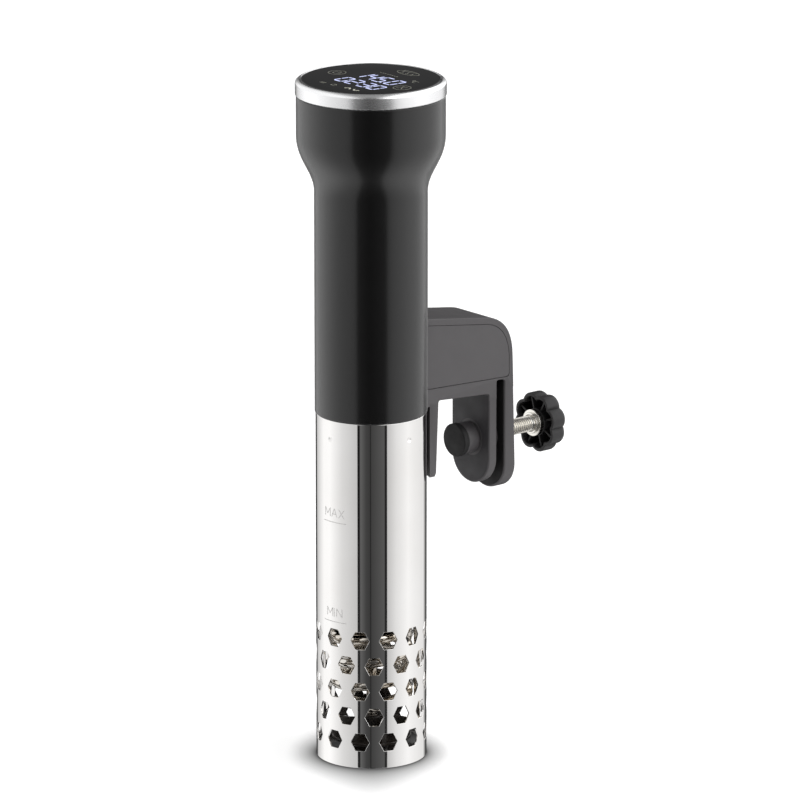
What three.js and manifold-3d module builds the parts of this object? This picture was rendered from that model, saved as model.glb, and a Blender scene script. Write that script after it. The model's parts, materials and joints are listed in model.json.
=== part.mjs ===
// Immersion circulator: a head with a glass display, a neck that holds the motor,
// a perforated steel skirt round the heater and the impeller, and a screw clamp for a pot wall.
// Millimetres, +Z up. The origin is on the tube's axis at the foot. The display faces -Y
// and the clamp reaches out to +Y.

import * as THREE from 'three';
import { mergeVertices } from 'three/addons/utils/BufferGeometryUtils.js';
import Module from 'manifold-3d';

const wasm = await Module();
wasm.setup();

// General
const GAP = 0.3;
const LARGE_SIDES = 40;
const SKIRT_SIDES = 36;
const MEDIUM_SIDES = 24;
const SMALL_SIDES = 12;
const DEGREE = Math.PI / 180;
const CLAMP_SIDE = 90 * DEGREE;

// Perforated skirt and its base cap
const SKIRT_RADIUS = 27;
const SKIRT_WALL = 0.8;
const SKIRT_BORE = SKIRT_RADIUS - SKIRT_WALL;
const SKIRT_TOP = 173.6;
const HOLE_ROWS = 5;
const HOLES_PER_ROW = 12;
const HOLE_FIRST_HEIGHT = 13.1;
const HOLE_ROW_PITCH = 12.9;
const HOLE_WIDTH = 9.3;
const HOLE_HEIGHT = 8.8;
const HOLE_FIRST_ANGLE = -82 * DEGREE;
const HOLE_CUTTER_DEPTH = 4;
const DIMPLE_COUNT = 4;
const DIMPLE_FIRST_ANGLE = -87 * DEGREE;
const DIMPLE_HEIGHT = 164.3;
const DIMPLE_RADIUS = 1.2;
const DIMPLE_DEPTH = 0.6;
const DIMPLE_WALL = 0.4;
const DIMPLE_SIDES = 8;
const CAP_THICKNESS = 3;
const CAP_RIM_HEIGHT = 6;
const CAP_RIM_WIDTH = 2.2;
const CAP_HUB_RADIUS = 8;
const CAP_SPOKES = 6;
const CAP_SPOKE_WIDTH = 3;

// Housing of neck and head
const NECK_RADIUS = 27.42;
const NECK_BORE = 25.2;
const NECK_BOTTOM = SKIRT_TOP + GAP;
const NECK_TOP = 283;
const HEAD_RADIUS = 36.04;
const HEAD_BORE = 33.8;
const HEAD_BOTTOM = 311;
const HEAD_TOP = 330.7;
const SHOULDER_LOW_PULL = 293.5;
const SHOULDER_HIGH_PULL = 298.7;
const SHOULDER_STEPS = 8;
const NECK_EDGE_RADIUS = 0.8;
const INLET_HEIGHT = 316;
const INLET_RADIUS = 5;
const GLAND_BORE = 3.2;
const GLAND_FLANGE = 1.8;
const GLAND_FLANGE_THICKNESS = 1.6;
const GLAND_COLLAR = 1.6;
const GLAND_COLLAR_THICKNESS = 2.4;
const GLAND_COLLAR_GAP = 1.2;

// Display stack
const RING_RADIUS = 36.47;
const RING_BOTTOM = HEAD_TOP + GAP;
const RING_BEVEL_START = 336.3;
const GLASS_TOP = 338.4;
const GLASS_RADIUS = 33.6;
const GLASS_THICKNESS = 2.2;
const GLASS_EDGE = 0.35;
const RING_LEDGE_TOP = 334.9;
const RING_LEDGE_BOTTOM = 332.6;
const RING_LEDGE_BORE = 31.2;
const RING_SLEEVE_BOTTOM = 325.6;
const RING_SLEEVE_RADIUS = HEAD_BORE - GAP;
const RING_SLEEVE_BORE = 31.8;
const CONTROL_BOARD_RADIUS = 31;
const CONTROL_BOARD_HEIGHT = 326;
const POWER_BOARD_RADIUS = 31;
const POWER_BOARD_HEIGHT = 303;
const BOARD_THICKNESS = 1.6;
const SINK_WIDTH = 15;
const SINK_HEIGHT = 14;
const SINK_BASE = 2;
const SINK_FIN_REACHES = [-6, -3, 0, 3, 6];
const SINK_FIN_WIDTH = 1.2;
const SINK_FIN_DEPTH = 8;
const DISPLAY_SIZE = [40, 34];
const DISPLAY_HEIGHT = 6;
const DISPLAY_ROW_SIZE = [34, 10];
const DISPLAY_ROW_DEPTH = 0.6;
const DISPLAY_ROW_OFFSETS = [7, -7];
const PILLAR_RADIUS = 2.4;
const PILLAR_CIRCLE = 27;
const PILLAR_FIRST_ANGLE = 210 * DEGREE;
const TRANSFORMER = { size: [22, 18, 15], place: [-10, -4] };
const RELAY = { size: [10, 16, 13], place: [10, -12] };
const CAPACITOR = { radius: 5.5, height: 16, place: [19, 3] };
const SINK_PLACE = [0, 12];
const DISPLAY_PLACE = [3, -3];
const BUZZER = { radius: 6, height: 6, place: [-16, 14] };

// Bulkhead between the neck and the skirt
const BULKHEAD_BOTTOM = 158;
const BULKHEAD_RADIUS = SKIRT_BORE - GAP;
const SPIGOT_RADIUS = NECK_BORE - GAP;
const SPIGOT_TOP = 179.6;
const RING_GROOVE_HEIGHT = 169.6;
const RING_GROOVE_WIDTH = 2.8;
const RING_GROOVE_RADIUS = 24.1;
const RING_GROOVE_LOW = RING_GROOVE_HEIGHT - RING_GROOVE_WIDTH / 2;
const RING_GROOVE_HIGH = RING_GROOVE_HEIGHT + RING_GROOVE_WIDTH / 2;
const KEYWAY_DEPTH = 1;
const KEYWAY_WIDTH = 4.4;
const SEAL_RING_SECTION = 0.8;
const SEAL_RING_RADIUS = 25.15;
const SEAL_RADIUS = 8;
const SEAL_BOTTOM = 175;

// Shaft, its tube, impeller and fan
const SHAFT_RADIUS = 2.5;
const SHAFT_BORE = SHAFT_RADIUS + GAP;
const SHAFT_BOTTOM = 4.4;
const SHAFT_TOP = 257;
const TUBE_RADIUS = 5.5;
const TUBE_BORE = 4.7;
const TUBE_BOTTOM = 50;
const BEARING_LENGTH = 9;
const IMPELLER_RADIUS = 19.5;
const IMPELLER_BOTTOM = 8.6;
const IMPELLER_TOP = 20;
const IMPELLER_BLADES = 6;
const FAN_RADIUS = 21;
const FAN_BOTTOM = 243;
const FAN_TOP = 253;
const FAN_BLADES = 7;
const FAN_PITCH = 35 * DEGREE;
const FAN_HUB_RADIUS = 6;
const IMPELLER_HUB_RADIUS = 5.5;
const IMPELLER_BASE = 1.6;
const BLADE_THICKNESS = 1.4;
const BLADE_INSET = 1.5;
const BLADE_OVERLAP = 2;
const SHAFT_EDGE = 0.4;
const NUT_BOTTOM = 4.8;
const NUT_RADIUS = 4.5;

// Motor
const MOTOR_RADIUS = 17;
const MOTOR_WALL = 1.4;
const MOTOR_BOTTOM = 196.1;
const MOTOR_TOP = 238;
const MOTOR_PLATE_TOP = 195.8;
const MOTOR_PLATE_THICKNESS = 3;
const MOTOR_SCREW_CIRCLE = 12;
const MOTOR_SCREW_COUNT = 3;
const MOTOR_SCREW_LENGTH = 4.6;
const MOTOR_END_THICKNESS = 2;
const MOTOR_BEARING_SEAT = 6;
const STATOR_BOTTOM = 204;
const STATOR_TOP = 230;
const STATOR_BORE = 9.4;
const STATOR_SLOTS = 6;
const STATOR_SLOT_SIZE = [4.2, 2.4];
const MAGNET_RADIUS = 8.8;

// Heater and probes
const HEATER_RADIUS = 3.25;
const COIL_RADIUS = 17;
const COIL_BOTTOM = 29;
const COIL_TOP = 76;
const COIL_TURNS = 5;
const COIL_ENTRY_TURN = 1 / 3;
const LEG_RADIUS = 9.8;
const UPPER_LEG_RADIUS = LEG_RADIUS + SEAL_RADIUS - TUBE_RADIUS;
const UPPER_LEG_HEIGHTS = [150, 120, 95];
const LOWER_LEG_HEIGHTS = [80, 60, 42, 34];
const RISER_HEIGHTS = [81, 88, 110, 140];
const COIL_ENTRY_BEND = 0.35;
const COIL_POINTS_PER_TURN = 12;
const COIL_STEPS = 130;
const BRACE_BOTTOM = 100;
const BRACE_TOP = 102;
const BRACE_WIDTH = 10;
const BRACE_OVERHANG = 5.5;
const BRACE_HUB_RADIUS = 8;
const LEG_ANGLE = 30 * DEGREE;
const LEG_TOP = 183;
const PROBE_CIRCLE = 22.2;
const TEMP_PROBE_RADIUS = 1.5;
const LEVEL_PROBE_RADIUS = 1.2;
const TEMP_PROBE_BOTTOM = 16;
const LEVEL_PROBE_BOTTOM = 70;
const TEMP_PROBE_ANGLE = 48 * DEGREE;
const LEVEL_PROBE_ANGLES = [138 * DEGREE, 228 * DEGREE];

// Clamp bracket, in its side view of reach (Y) and height (Z)
const CLAMP_WIDTH = 28;
const HUG_RADIUS = 28.4;
const SEAT_RADIUS = NECK_RADIUS + GAP;
const ARM_TOP_AT_AXIS = 221.2;
const ARM_TOP_SLOPE = -0.1455;
const ARM_CORNER_START = 61.5;
const OUTER_FACE_HEIGHT = 149.6;
const OUTER_FACE_REACH = 80.37;
const OUTER_FACE_SLOPE = -0.0318;
const ARM_CORNER_END = 191.5;
const GROOVE_TOP = 180;
const LEG_INNER_FACE = 63.6;
const LEG_GROOVE_START = 68.6;
const LEG_GROOVE_END = 73.7;
const INNER_TONGUE_BOTTOM = 126.2;
const OUTER_TONGUE_BOTTOM = 122;
const PANEL_THICKNESS = 1.7;
const PANEL_INSET = 3.5;
const PANEL_BOTTOM = 180.6;
const PANEL_CORNER = 3;
const PANEL_RISE = 2.4;
const ARM_START = 20;
const ARM_CORNER_PULL = 18;
const THROAT_FILLET = 3.4;
const THROAT_TOP_OUTER = 173.6;
const THROAT_TOP_INNER = 175.6;
const INNER_TONGUE_TOP = 171;
const WEB_WIDTH = 5;
const BOSS_WALL = 3;
const SEAT_WIDTH = 16;
const SEAT_LOW = 181;
const SEAT_HIGH = 212;
const SEAT_REACH = 29;
const SEAT_DEPTH = 6;
const HOLLOW_OUTLINE = [[41, 187], [66, 186], [72, 190], [72, 198], [66, 203], [41, 207]];
const HOLLOW_WEB = 2;
const BRACKET_SCREW_LENGTH = 11;
const HUG_LEG_TOP_FACE = 31.2;
const HUG_LEG_BOTTOM_FACE = 29.8;
const HUG_LEG_BOTTOM = 138;
const BRACKET_SCREW_HEIGHTS = { bracket_screw_lower: 186, bracket_screw_upper: 208 };
const SMALL_SCREW_RADIUS = 1.5;
const SMALL_SCREW_HOLE = SMALL_SCREW_RADIUS + GAP;

// Clamp screw, along its own axis
const CLAMP_SCREW_HEIGHT = 149.2;
const SCREW_RADIUS = 4;
const SCREW_BORE = SCREW_RADIUS + GAP;
const SCREW_TIP = 58.6;
const SCREW_TIP_EDGE = 0.8;
const SCREW_END = 110.8;
const BUSH_RADIUS = 6;
const PAD_FACE = 53;
const PAD_RADIUS = 8.3;
const PAD_FRONT_THICKNESS = 3;
const PAD_BACK = 63.1;
const COLLAR_START = 102.2;
const COLLAR_STEP = 103.4;
const COLLAR_END = 105.6;
const COLLAR_RADIUS = 5.4;
const COLLAR_FLANGE_RADIUS = 6.7;
const KNOB_FACE = 105.2;
const KNOB_BACK = 114.5;
const KNOB_LOBES = 8;
const KNOB_MEAN_RADIUS = 14;
const KNOB_LOBE_DEPTH = 0.9;
const KNOB_WALL = 1.7;
const KNOB_FLOOR = KNOB_BACK - 2.6;
const KNOB_RIB_WIDTH = 1;
const KNOB_BACK_ROUNDING = 3.2;
const KNOB_HUB_RADIUS = 6.9;
const KNOB_FIRST_LOBE = -17 * DEGREE;

const finish = (color, roughness, metalness) =>
  new THREE.MeshStandardMaterial({ color, roughness, metalness });

const FINISHES = {
  polishedSteel: () => finish(0xd9d6d2, 0.12, 1),
  satinMetal: () => finish(0xc9cacc, 0.35, 1),
  plainSteel: () => finish(0xa9a7a2, 0.4, 1),
  brass: () => finish(0xb08d4a, 0.35, 1),
  copper: () => finish(0xb06a3c, 0.4, 1),
  blackPlastic: () => finish(0x232224, 0.55, 0),
  clampPlastic: () => finish(0x39383a, 0.6, 0),
  internalPlastic: () => finish(0x5b5d60, 0.6, 0),
  rubber: () => finish(0x1b1b1c, 0.85, 0),
  blackGlass: () => finish(0x08090b, 0.06, 0),
  circuitBoard: () => finish(0x1f5b3a, 0.5, 0),
  display: () => finish(0xdfe8f5, 0.4, 0),
};

const object = new THREE.Group();

function addPart(group, name, geometry, finishName) {
  const mesh = new THREE.Mesh(geometry, FINISHES[finishName]());
  mesh.name = name;
  group.add(mesh);
  return mesh;
}

// ---- Geometry helpers ----

function weld(geometry) {
  const bare = geometry.clone();
  bare.deleteAttribute('normal');
  bare.deleteAttribute('uv');
  const merged = mergeVertices(bare, 1e-4);
  const index = merged.index.array;
  const position = merged.attributes.position;
  const kept = [];
  let sixVolumes = 0;
  const [a, b, c] = [new THREE.Vector3(), new THREE.Vector3(), new THREE.Vector3()];
  for (let i = 0; i < index.length; i += 3) {
    const [i0, i1, i2] = [index[i], index[i + 1], index[i + 2]];
    if (i0 === i1 || i1 === i2 || i2 === i0) continue;
    kept.push(i0, i1, i2);
    a.fromBufferAttribute(position, i0);
    b.fromBufferAttribute(position, i1);
    c.fromBufferAttribute(position, i2);
    sixVolumes += a.dot(b.cross(c));
  }
  if (sixVolumes < 0) kept.reverse();
  merged.setIndex(kept);
  return merged;
}

function toSolid(geometry) {
  const closed = weld(geometry);
  const mesh = new wasm.Mesh({
    numProp: 3,
    vertProperties: Float32Array.from(closed.attributes.position.array),
    triVerts: Uint32Array.from(closed.index.array),
  });
  return new wasm.Manifold(mesh);
}

function toGeometry(solid) {
  const mesh = solid.getMesh();
  const geometry = new THREE.BufferGeometry();
  geometry.setAttribute('position', new THREE.BufferAttribute(mesh.vertProperties, 3));
  geometry.setIndex(new THREE.BufferAttribute(mesh.triVerts, 1));
  return geometry;
}

function combine(operation, base, others) {
  let result = toSolid(base);
  for (const other of others) result = result[operation](toSolid(other));
  return toGeometry(result);
}

const join = (base, ...others) => combine('add', base, others);
const cut = (base, ...others) => combine('subtract', base, others);
const keepCommon = (base, ...others) => combine('intersect', base, others);

// A profile of [radius, height] points turned about Z.
function turned(points, sides) {
  const profile = points.map(([radius, height]) => new THREE.Vector2(radius, height));
  return weld(new THREE.LatheGeometry(profile, sides).rotateX(Math.PI / 2));
}

function disc(radius, low, high, sides) {
  return turned([[0, low], [radius, low], [radius, high], [0, high]], sides);
}

function ring(outer, inner, low, high, sides) {
  return turned([[outer, low], [outer, high], [inner, high], [inner, low], [outer, low]], sides);
}

function box(width, depth, low, high) {
  return new THREE.BoxGeometry(width, depth, high - low).translate(0, 0, (low + high) / 2);
}

function extruded(shape, depth, curveSegments = 6) {
  return new THREE.ExtrudeGeometry(shape, { depth, bevelEnabled: false, curveSegments });
}

function shapeFrom(points) {
  return new THREE.Shape(points.map(([x, y]) => new THREE.Vector2(x, y)));
}

// Turns a piece built along its local Z so that it points outwards at an angle about the tube.
function placeRadially(geometry, angle, radius, height) {
  const outward = new THREE.Vector3(Math.cos(angle), Math.sin(angle), 0);
  const tangent = new THREE.Vector3(-outward.y, outward.x, 0);
  const up = new THREE.Vector3(0, 0, 1);
  const place = new THREE.Matrix4().makeBasis(tangent, up, outward);
  place.setPosition(outward.x * radius, outward.y * radius, height);
  return geometry.applyMatrix4(place);
}

// Extrudes a side view of (Y, Z) points across X.
function extrudedAcross(shape, low, high, curveSegments) {
  const place = new THREE.Matrix4().makeBasis(
    new THREE.Vector3(0, 1, 0), new THREE.Vector3(0, 0, 1), new THREE.Vector3(1, 0, 0));
  place.setPosition(low, 0, 0);
  return extruded(shape, high - low, curveSegments).applyMatrix4(place);
}

const rodAlongY = (radius, start, end, height, sides) =>
  placeRadially(disc(radius, 0, end - start, sides), CLAMP_SIDE, start, height);

function aroundCircle(count, firstAngle, makePiece) {
  return Array.from({ length: count }, (_, i) => makePiece(firstAngle + (i * 2 * Math.PI) / count, i));
}

// ---- Skirt ----

function hexagonalHole(angle, height) {
  const [w, h] = [HOLE_WIDTH / 2, HOLE_HEIGHT / 2];
  const hexagon = shapeFrom([[w, 0], [w / 2, h], [-w / 2, h], [-w, 0], [-w / 2, -h], [w / 2, -h]]);
  const cutterStart = SKIRT_RADIUS - SKIRT_WALL / 2 - HOLE_CUTTER_DEPTH / 2;
  return placeRadially(extruded(hexagon, HOLE_CUTTER_DEPTH), angle, cutterStart, height);
}

function skirtTube() {
  let tube = toSolid(ring(SKIRT_RADIUS, SKIRT_BORE, 0, SKIRT_TOP, SKIRT_SIDES));
  const stagger = Math.PI / HOLES_PER_ROW;
  for (let row = 0; row < HOLE_ROWS; row += 1) {
    const height = HOLE_FIRST_HEIGHT + row * HOLE_ROW_PITCH;
    const firstAngle = HOLE_FIRST_ANGLE + (row % 2) * stagger;
    const holes = aroundCircle(HOLES_PER_ROW, firstAngle, (angle) => hexagonalHole(angle, height));
    for (const hole of holes) tube = tube.subtract(toSolid(hole));
  }
  const bumps = aroundCircle(DIMPLE_COUNT, DIMPLE_FIRST_ANGLE, (angle) =>
    placeRadially(disc(DIMPLE_RADIUS + DIMPLE_WALL, -DIMPLE_DEPTH, DIMPLE_WALL / 2, DIMPLE_SIDES), angle,
      SKIRT_BORE, DIMPLE_HEIGHT));
  for (const bump of bumps) tube = tube.add(toSolid(bump));
  const dents = aroundCircle(DIMPLE_COUNT, DIMPLE_FIRST_ANGLE, (angle) =>
    placeRadially(disc(DIMPLE_RADIUS, 0, 2 * DIMPLE_DEPTH, DIMPLE_SIDES), angle,
      SKIRT_RADIUS - DIMPLE_DEPTH, DIMPLE_HEIGHT));
  for (const dent of dents) tube = tube.subtract(toSolid(dent));
  return toGeometry(tube);
}

function baseCap() {
  const rimRadius = SKIRT_BORE - GAP;
  const rim = ring(rimRadius, rimRadius - CAP_RIM_WIDTH, 0, CAP_RIM_HEIGHT, SKIRT_SIDES);
  const spokeLength = 2 * rimRadius - CAP_RIM_WIDTH;
  const spokes = Array.from({ length: CAP_SPOKES / 2 }, (_, i) =>
    box(spokeLength, CAP_SPOKE_WIDTH, 0, CAP_THICKNESS).rotateZ((i * 2 * Math.PI) / CAP_SPOKES));
  return join(rim, disc(CAP_HUB_RADIUS, 0, CAP_THICKNESS, MEDIUM_SIDES), ...spokes);
}

function buildSkirt() {
  const group = new THREE.Group();
  addPart(group, 'skirt_tube', skirtTube(), 'polishedSteel');
  addPart(group, 'base_cap', baseCap(), 'blackPlastic');
  return group;
}

// ---- Housing ----

function shoulderPoints(lowRadius, highRadius, steps) {
  const curve = new THREE.CubicBezierCurve(
    new THREE.Vector2(lowRadius, NECK_TOP), new THREE.Vector2(lowRadius, SHOULDER_LOW_PULL),
    new THREE.Vector2(highRadius, SHOULDER_HIGH_PULL), new THREE.Vector2(highRadius, HEAD_BOTTOM));
  return curve.getPoints(steps).map((point) => [point.x, point.y]);
}

function mainHousing() {
  const outside = [
    [NECK_RADIUS - NECK_EDGE_RADIUS, NECK_BOTTOM],
    [NECK_RADIUS, NECK_BOTTOM + NECK_EDGE_RADIUS],
    ...shoulderPoints(NECK_RADIUS, HEAD_RADIUS, SHOULDER_STEPS),
    [HEAD_RADIUS, HEAD_TOP],
  ];
  const inside = [
    [NECK_BORE, NECK_BOTTOM],
    ...shoulderPoints(NECK_BORE, HEAD_BORE, SHOULDER_STEPS / 2),
    [HEAD_BORE, HEAD_TOP],
  ];
  const shell = turned([...outside, ...inside.reverse(), outside[0]], LARGE_SIDES);
  const screwHoles = Object.values(BRACKET_SCREW_HEIGHTS).map((height) =>
    rodAlongY(SMALL_SCREW_HOLE, NECK_BORE - 3, NECK_RADIUS + 2, height, 12));
  const inlet = rodAlongY(INLET_RADIUS + GAP, HEAD_BORE - 3, HEAD_RADIUS + 2, INLET_HEIGHT, 20);
  return cut(shell, inlet, ...screwHoles);
}

// The bush that the mains lead passes through, with a flange outside and a collar inside.
function cordGland() {
  const flangeBack = HEAD_RADIUS + GAP;
  const tip = flangeBack + GLAND_FLANGE_THICKNESS;
  const collarFront = HEAD_BORE - GLAND_COLLAR_GAP;
  const collarBack = collarFront - GLAND_COLLAR_THICKNESS;
  const profile = [
    [INLET_RADIUS, collarFront],
    [INLET_RADIUS, flangeBack],
    [INLET_RADIUS + GLAND_FLANGE, flangeBack],
    [INLET_RADIUS + GLAND_FLANGE * 0.7, tip],
    [GLAND_BORE, tip],
    [GLAND_BORE, collarBack],
    [INLET_RADIUS + GLAND_COLLAR, collarBack],
    [INLET_RADIUS + GLAND_COLLAR, collarFront],
    [INLET_RADIUS, collarFront],
  ];
  return placeRadially(turned(profile, 20), CLAMP_SIDE, 0, INLET_HEIGHT);
}

function trimRing() {
  const bevel = new THREE.QuadraticBezierCurve(
    new THREE.Vector2(RING_RADIUS, RING_BEVEL_START),
    new THREE.Vector2(RING_RADIUS - 0.9, GLASS_TOP - 0.6),
    new THREE.Vector2(GLASS_RADIUS + GAP, GLASS_TOP));
  const profile = [
    [RING_RADIUS, RING_BOTTOM],
    ...bevel.getPoints(4).map((point) => [point.x, point.y]),
    [GLASS_RADIUS + GAP, RING_LEDGE_TOP],
    [RING_LEDGE_BORE, RING_LEDGE_TOP],
    [RING_LEDGE_BORE, RING_LEDGE_BOTTOM],
    [RING_SLEEVE_BORE, RING_LEDGE_BOTTOM - 0.6],
    [RING_SLEEVE_BORE, RING_SLEEVE_BOTTOM],
    [RING_SLEEVE_RADIUS, RING_SLEEVE_BOTTOM],
    [RING_SLEEVE_RADIUS, RING_BOTTOM],
    [RING_RADIUS, RING_BOTTOM],
  ];
  return turned(profile, LARGE_SIDES);
}

function touchGlass() {
  const bottom = GLASS_TOP - GLASS_THICKNESS;
  const profile = [
    [0, bottom], [GLASS_RADIUS, bottom], [GLASS_RADIUS, GLASS_TOP - GLASS_EDGE],
    [GLASS_RADIUS - GLASS_EDGE, GLASS_TOP], [0, GLASS_TOP],
  ];
  return turned(profile, LARGE_SIDES);
}

function buildHead() {
  const group = new THREE.Group();
  const glassBottom = GLASS_TOP - GLASS_THICKNESS;
  const gasket = ring(GLASS_RADIUS, RING_LEDGE_BORE + GAP, RING_LEDGE_TOP + GAP, glassBottom - GAP,
    SKIRT_SIDES);
  addPart(group, 'main_housing', mainHousing(), 'blackPlastic');
  addPart(group, 'cord_gland', cordGland(), 'rubber');
  addPart(group, 'trim_ring', trimRing(), 'satinMetal');
  addPart(group, 'glass_gasket', gasket, 'rubber');
  addPart(group, 'touch_glass', touchGlass(), 'blackGlass');
  return group;
}

// ---- Electronics ----

function heatSink() {
  const fins = SINK_FIN_REACHES.map((x) =>
    box(SINK_FIN_WIDTH, SINK_FIN_DEPTH, 0, SINK_HEIGHT).translate(x, SINK_FIN_DEPTH / 2, 0));
  return join(box(SINK_WIDTH, SINK_BASE, 0, SINK_HEIGHT), ...fins);
}

function displayModule() {
  const rows = DISPLAY_ROW_OFFSETS.map((y) =>
    box(...DISPLAY_ROW_SIZE, DISPLAY_HEIGHT - DISPLAY_ROW_DEPTH, DISPLAY_HEIGHT + 1).translate(0, y, 0));
  return cut(box(...DISPLAY_SIZE, 0, DISPLAY_HEIGHT), ...rows);
}

function buildElectronics() {
  const group = new THREE.Group();
  const onPower = new THREE.Group();
  const onControl = new THREE.Group();
  onPower.position.z = POWER_BOARD_HEIGHT + BOARD_THICKNESS + GAP;
  onControl.position.z = CONTROL_BOARD_HEIGHT + BOARD_THICKNESS + GAP;
  group.add(onPower, onControl);

  const powerDisc = disc(POWER_BOARD_RADIUS, 0, BOARD_THICKNESS, MEDIUM_SIDES);
  const controlDisc = disc(CONTROL_BOARD_RADIUS, 0, BOARD_THICKNESS, MEDIUM_SIDES);
  addPart(group, 'power_board', powerDisc, 'circuitBoard').position.z = POWER_BOARD_HEIGHT;
  addPart(group, 'control_board', controlDisc, 'circuitBoard').position.z = CONTROL_BOARD_HEIGHT;

  const placeOn = (parent, name, geometry, finishName, place) =>
    addPart(parent, name, geometry, finishName).position.set(...place, 0);
  const block = ([width, depth, height]) => box(width, depth, 0, height);
  const can = ({ radius, height }) => disc(radius, 0, height, 20);
  placeOn(onPower, 'transformer', block(TRANSFORMER.size), 'copper', TRANSFORMER.place);
  placeOn(onPower, 'relay', block(RELAY.size), 'blackPlastic', RELAY.place);
  placeOn(onPower, 'capacitor', can(CAPACITOR), 'internalPlastic', CAPACITOR.place);
  placeOn(onPower, 'heat_sink', heatSink(), 'satinMetal', SINK_PLACE);
  placeOn(onControl, 'display_module', displayModule(), 'display', DISPLAY_PLACE);

  const underControl = CONTROL_BOARD_HEIGHT - GAP;
  const buzzer = can(BUZZER).translate(0, 0, underControl - BUZZER.height);
  placeOn(group, 'buzzer', buzzer, 'blackPlastic', BUZZER.place);

  const pillarLow = POWER_BOARD_HEIGHT + BOARD_THICKNESS + GAP;
  const pillar = disc(PILLAR_RADIUS, pillarLow, underControl, 12);
  aroundCircle(3, PILLAR_FIRST_ANGLE, (angle, i) => {
    const place = [PILLAR_CIRCLE * Math.cos(angle), PILLAR_CIRCLE * Math.sin(angle)];
    placeOn(group, `board_pillar_${i + 1}`, pillar, 'brass', place);
  });
  return group;
}

// ---- Bulkhead, seals, heater and probes ----

function bulkhead() {
  const plug = turned([
    [TUBE_RADIUS + GAP, BULKHEAD_BOTTOM], [BULKHEAD_RADIUS, BULKHEAD_BOTTOM],
    [BULKHEAD_RADIUS, RING_GROOVE_LOW], [RING_GROOVE_RADIUS, RING_GROOVE_LOW],
    [RING_GROOVE_RADIUS, RING_GROOVE_HIGH], [BULKHEAD_RADIUS, RING_GROOVE_HIGH],
    [BULKHEAD_RADIUS, SKIRT_TOP], [SPIGOT_RADIUS, SKIRT_TOP],
    [SPIGOT_RADIUS, SPIGOT_TOP], [SEAL_RADIUS + GAP, SPIGOT_TOP], [SEAL_RADIUS + GAP, SEAL_BOTTOM],
    [TUBE_RADIUS + GAP, SEAL_BOTTOM], [TUBE_RADIUS + GAP, BULKHEAD_BOTTOM],
  ], SKIRT_SIDES);
  const through = (radius, circle, angle) =>
    disc(radius + GAP, BULKHEAD_BOTTOM - 1, SPIGOT_TOP + 1, SMALL_SIDES)
      .translate(circle * Math.cos(angle), circle * Math.sin(angle), 0);
  const passages = [
    through(HEATER_RADIUS, COIL_RADIUS, LEG_ANGLE),
    through(HEATER_RADIUS, UPPER_LEG_RADIUS, LEG_ANGLE + Math.PI),
    through(TEMP_PROBE_RADIUS, PROBE_CIRCLE, TEMP_PROBE_ANGLE),
    ...LEVEL_PROBE_ANGLES.map((angle) => through(LEVEL_PROBE_RADIUS, PROBE_CIRCLE, angle)),
  ];
  const keyways = aroundCircle(DIMPLE_COUNT, DIMPLE_FIRST_ANGLE, (angle) =>
    box(2 * KEYWAY_DEPTH, KEYWAY_WIDTH, BULKHEAD_BOTTOM - 1, DIMPLE_HEIGHT + KEYWAY_WIDTH / 2)
      .translate(BULKHEAD_RADIUS, 0, 0)
      .rotateZ(angle));
  return cut(plug, ...passages, ...keyways);
}

function roundRing(centreRadius, sectionRadius, height, sides) {
  const section = Array.from({ length: 7 }, (_, i) => {
    const angle = (i * Math.PI) / 3;
    return [centreRadius + sectionRadius * Math.cos(angle), height + sectionRadius * Math.sin(angle)];
  });
  return turned(section, sides);
}

// One tube: down the inner leg, out to the coil, up round the coil and up the outer leg.
class HeaterPath extends THREE.CatmullRomCurve3 {
  constructor() {
    const at = (radius, angle, height) =>
      new THREE.Vector3(radius * Math.cos(angle), radius * Math.sin(angle), height);
    const start = LEG_ANGLE + Math.PI;
    const entryEnd = start + COIL_ENTRY_TURN * 2 * Math.PI;
    const coilEnd = LEG_ANGLE + 2 * Math.PI * COIL_TURNS;
    const steps = COIL_POINTS_PER_TURN * COIL_TURNS;
    const points = [
      ...[LEG_TOP, ...UPPER_LEG_HEIGHTS].map((height) => at(UPPER_LEG_RADIUS, start, height)),
      ...LOWER_LEG_HEIGHTS.map((height) => at(LEG_RADIUS, start, height)),
      at(LEG_RADIUS + 1.5, start + COIL_ENTRY_BEND, COIL_BOTTOM + 0.6),
      at((LEG_RADIUS + COIL_RADIUS) / 2 + 1, (start + entryEnd) / 2, COIL_BOTTOM),
    ];
    for (let i = 0; i <= steps; i += 1) {
      const along = i / steps;
      const angle = entryEnd + (coilEnd - COIL_ENTRY_BEND - entryEnd) * along;
      points.push(at(COIL_RADIUS, angle, COIL_BOTTOM + (COIL_TOP - COIL_BOTTOM) * along));
    }
    points.push(...[...RISER_HEIGHTS, LEG_TOP].map((height) => at(COIL_RADIUS, coilEnd, height)));
    super(points, false, 'centripetal');
  }
}

function heaterCoil() {
  const section = new THREE.Shape().absarc(0, 0, HEATER_RADIUS, 0, 2 * Math.PI);
  return weld(new THREE.ExtrudeGeometry(section, {
    steps: COIL_STEPS, curveSegments: 3, bevelEnabled: false, extrudePath: new HeaterPath(),
  }));
}

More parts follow.
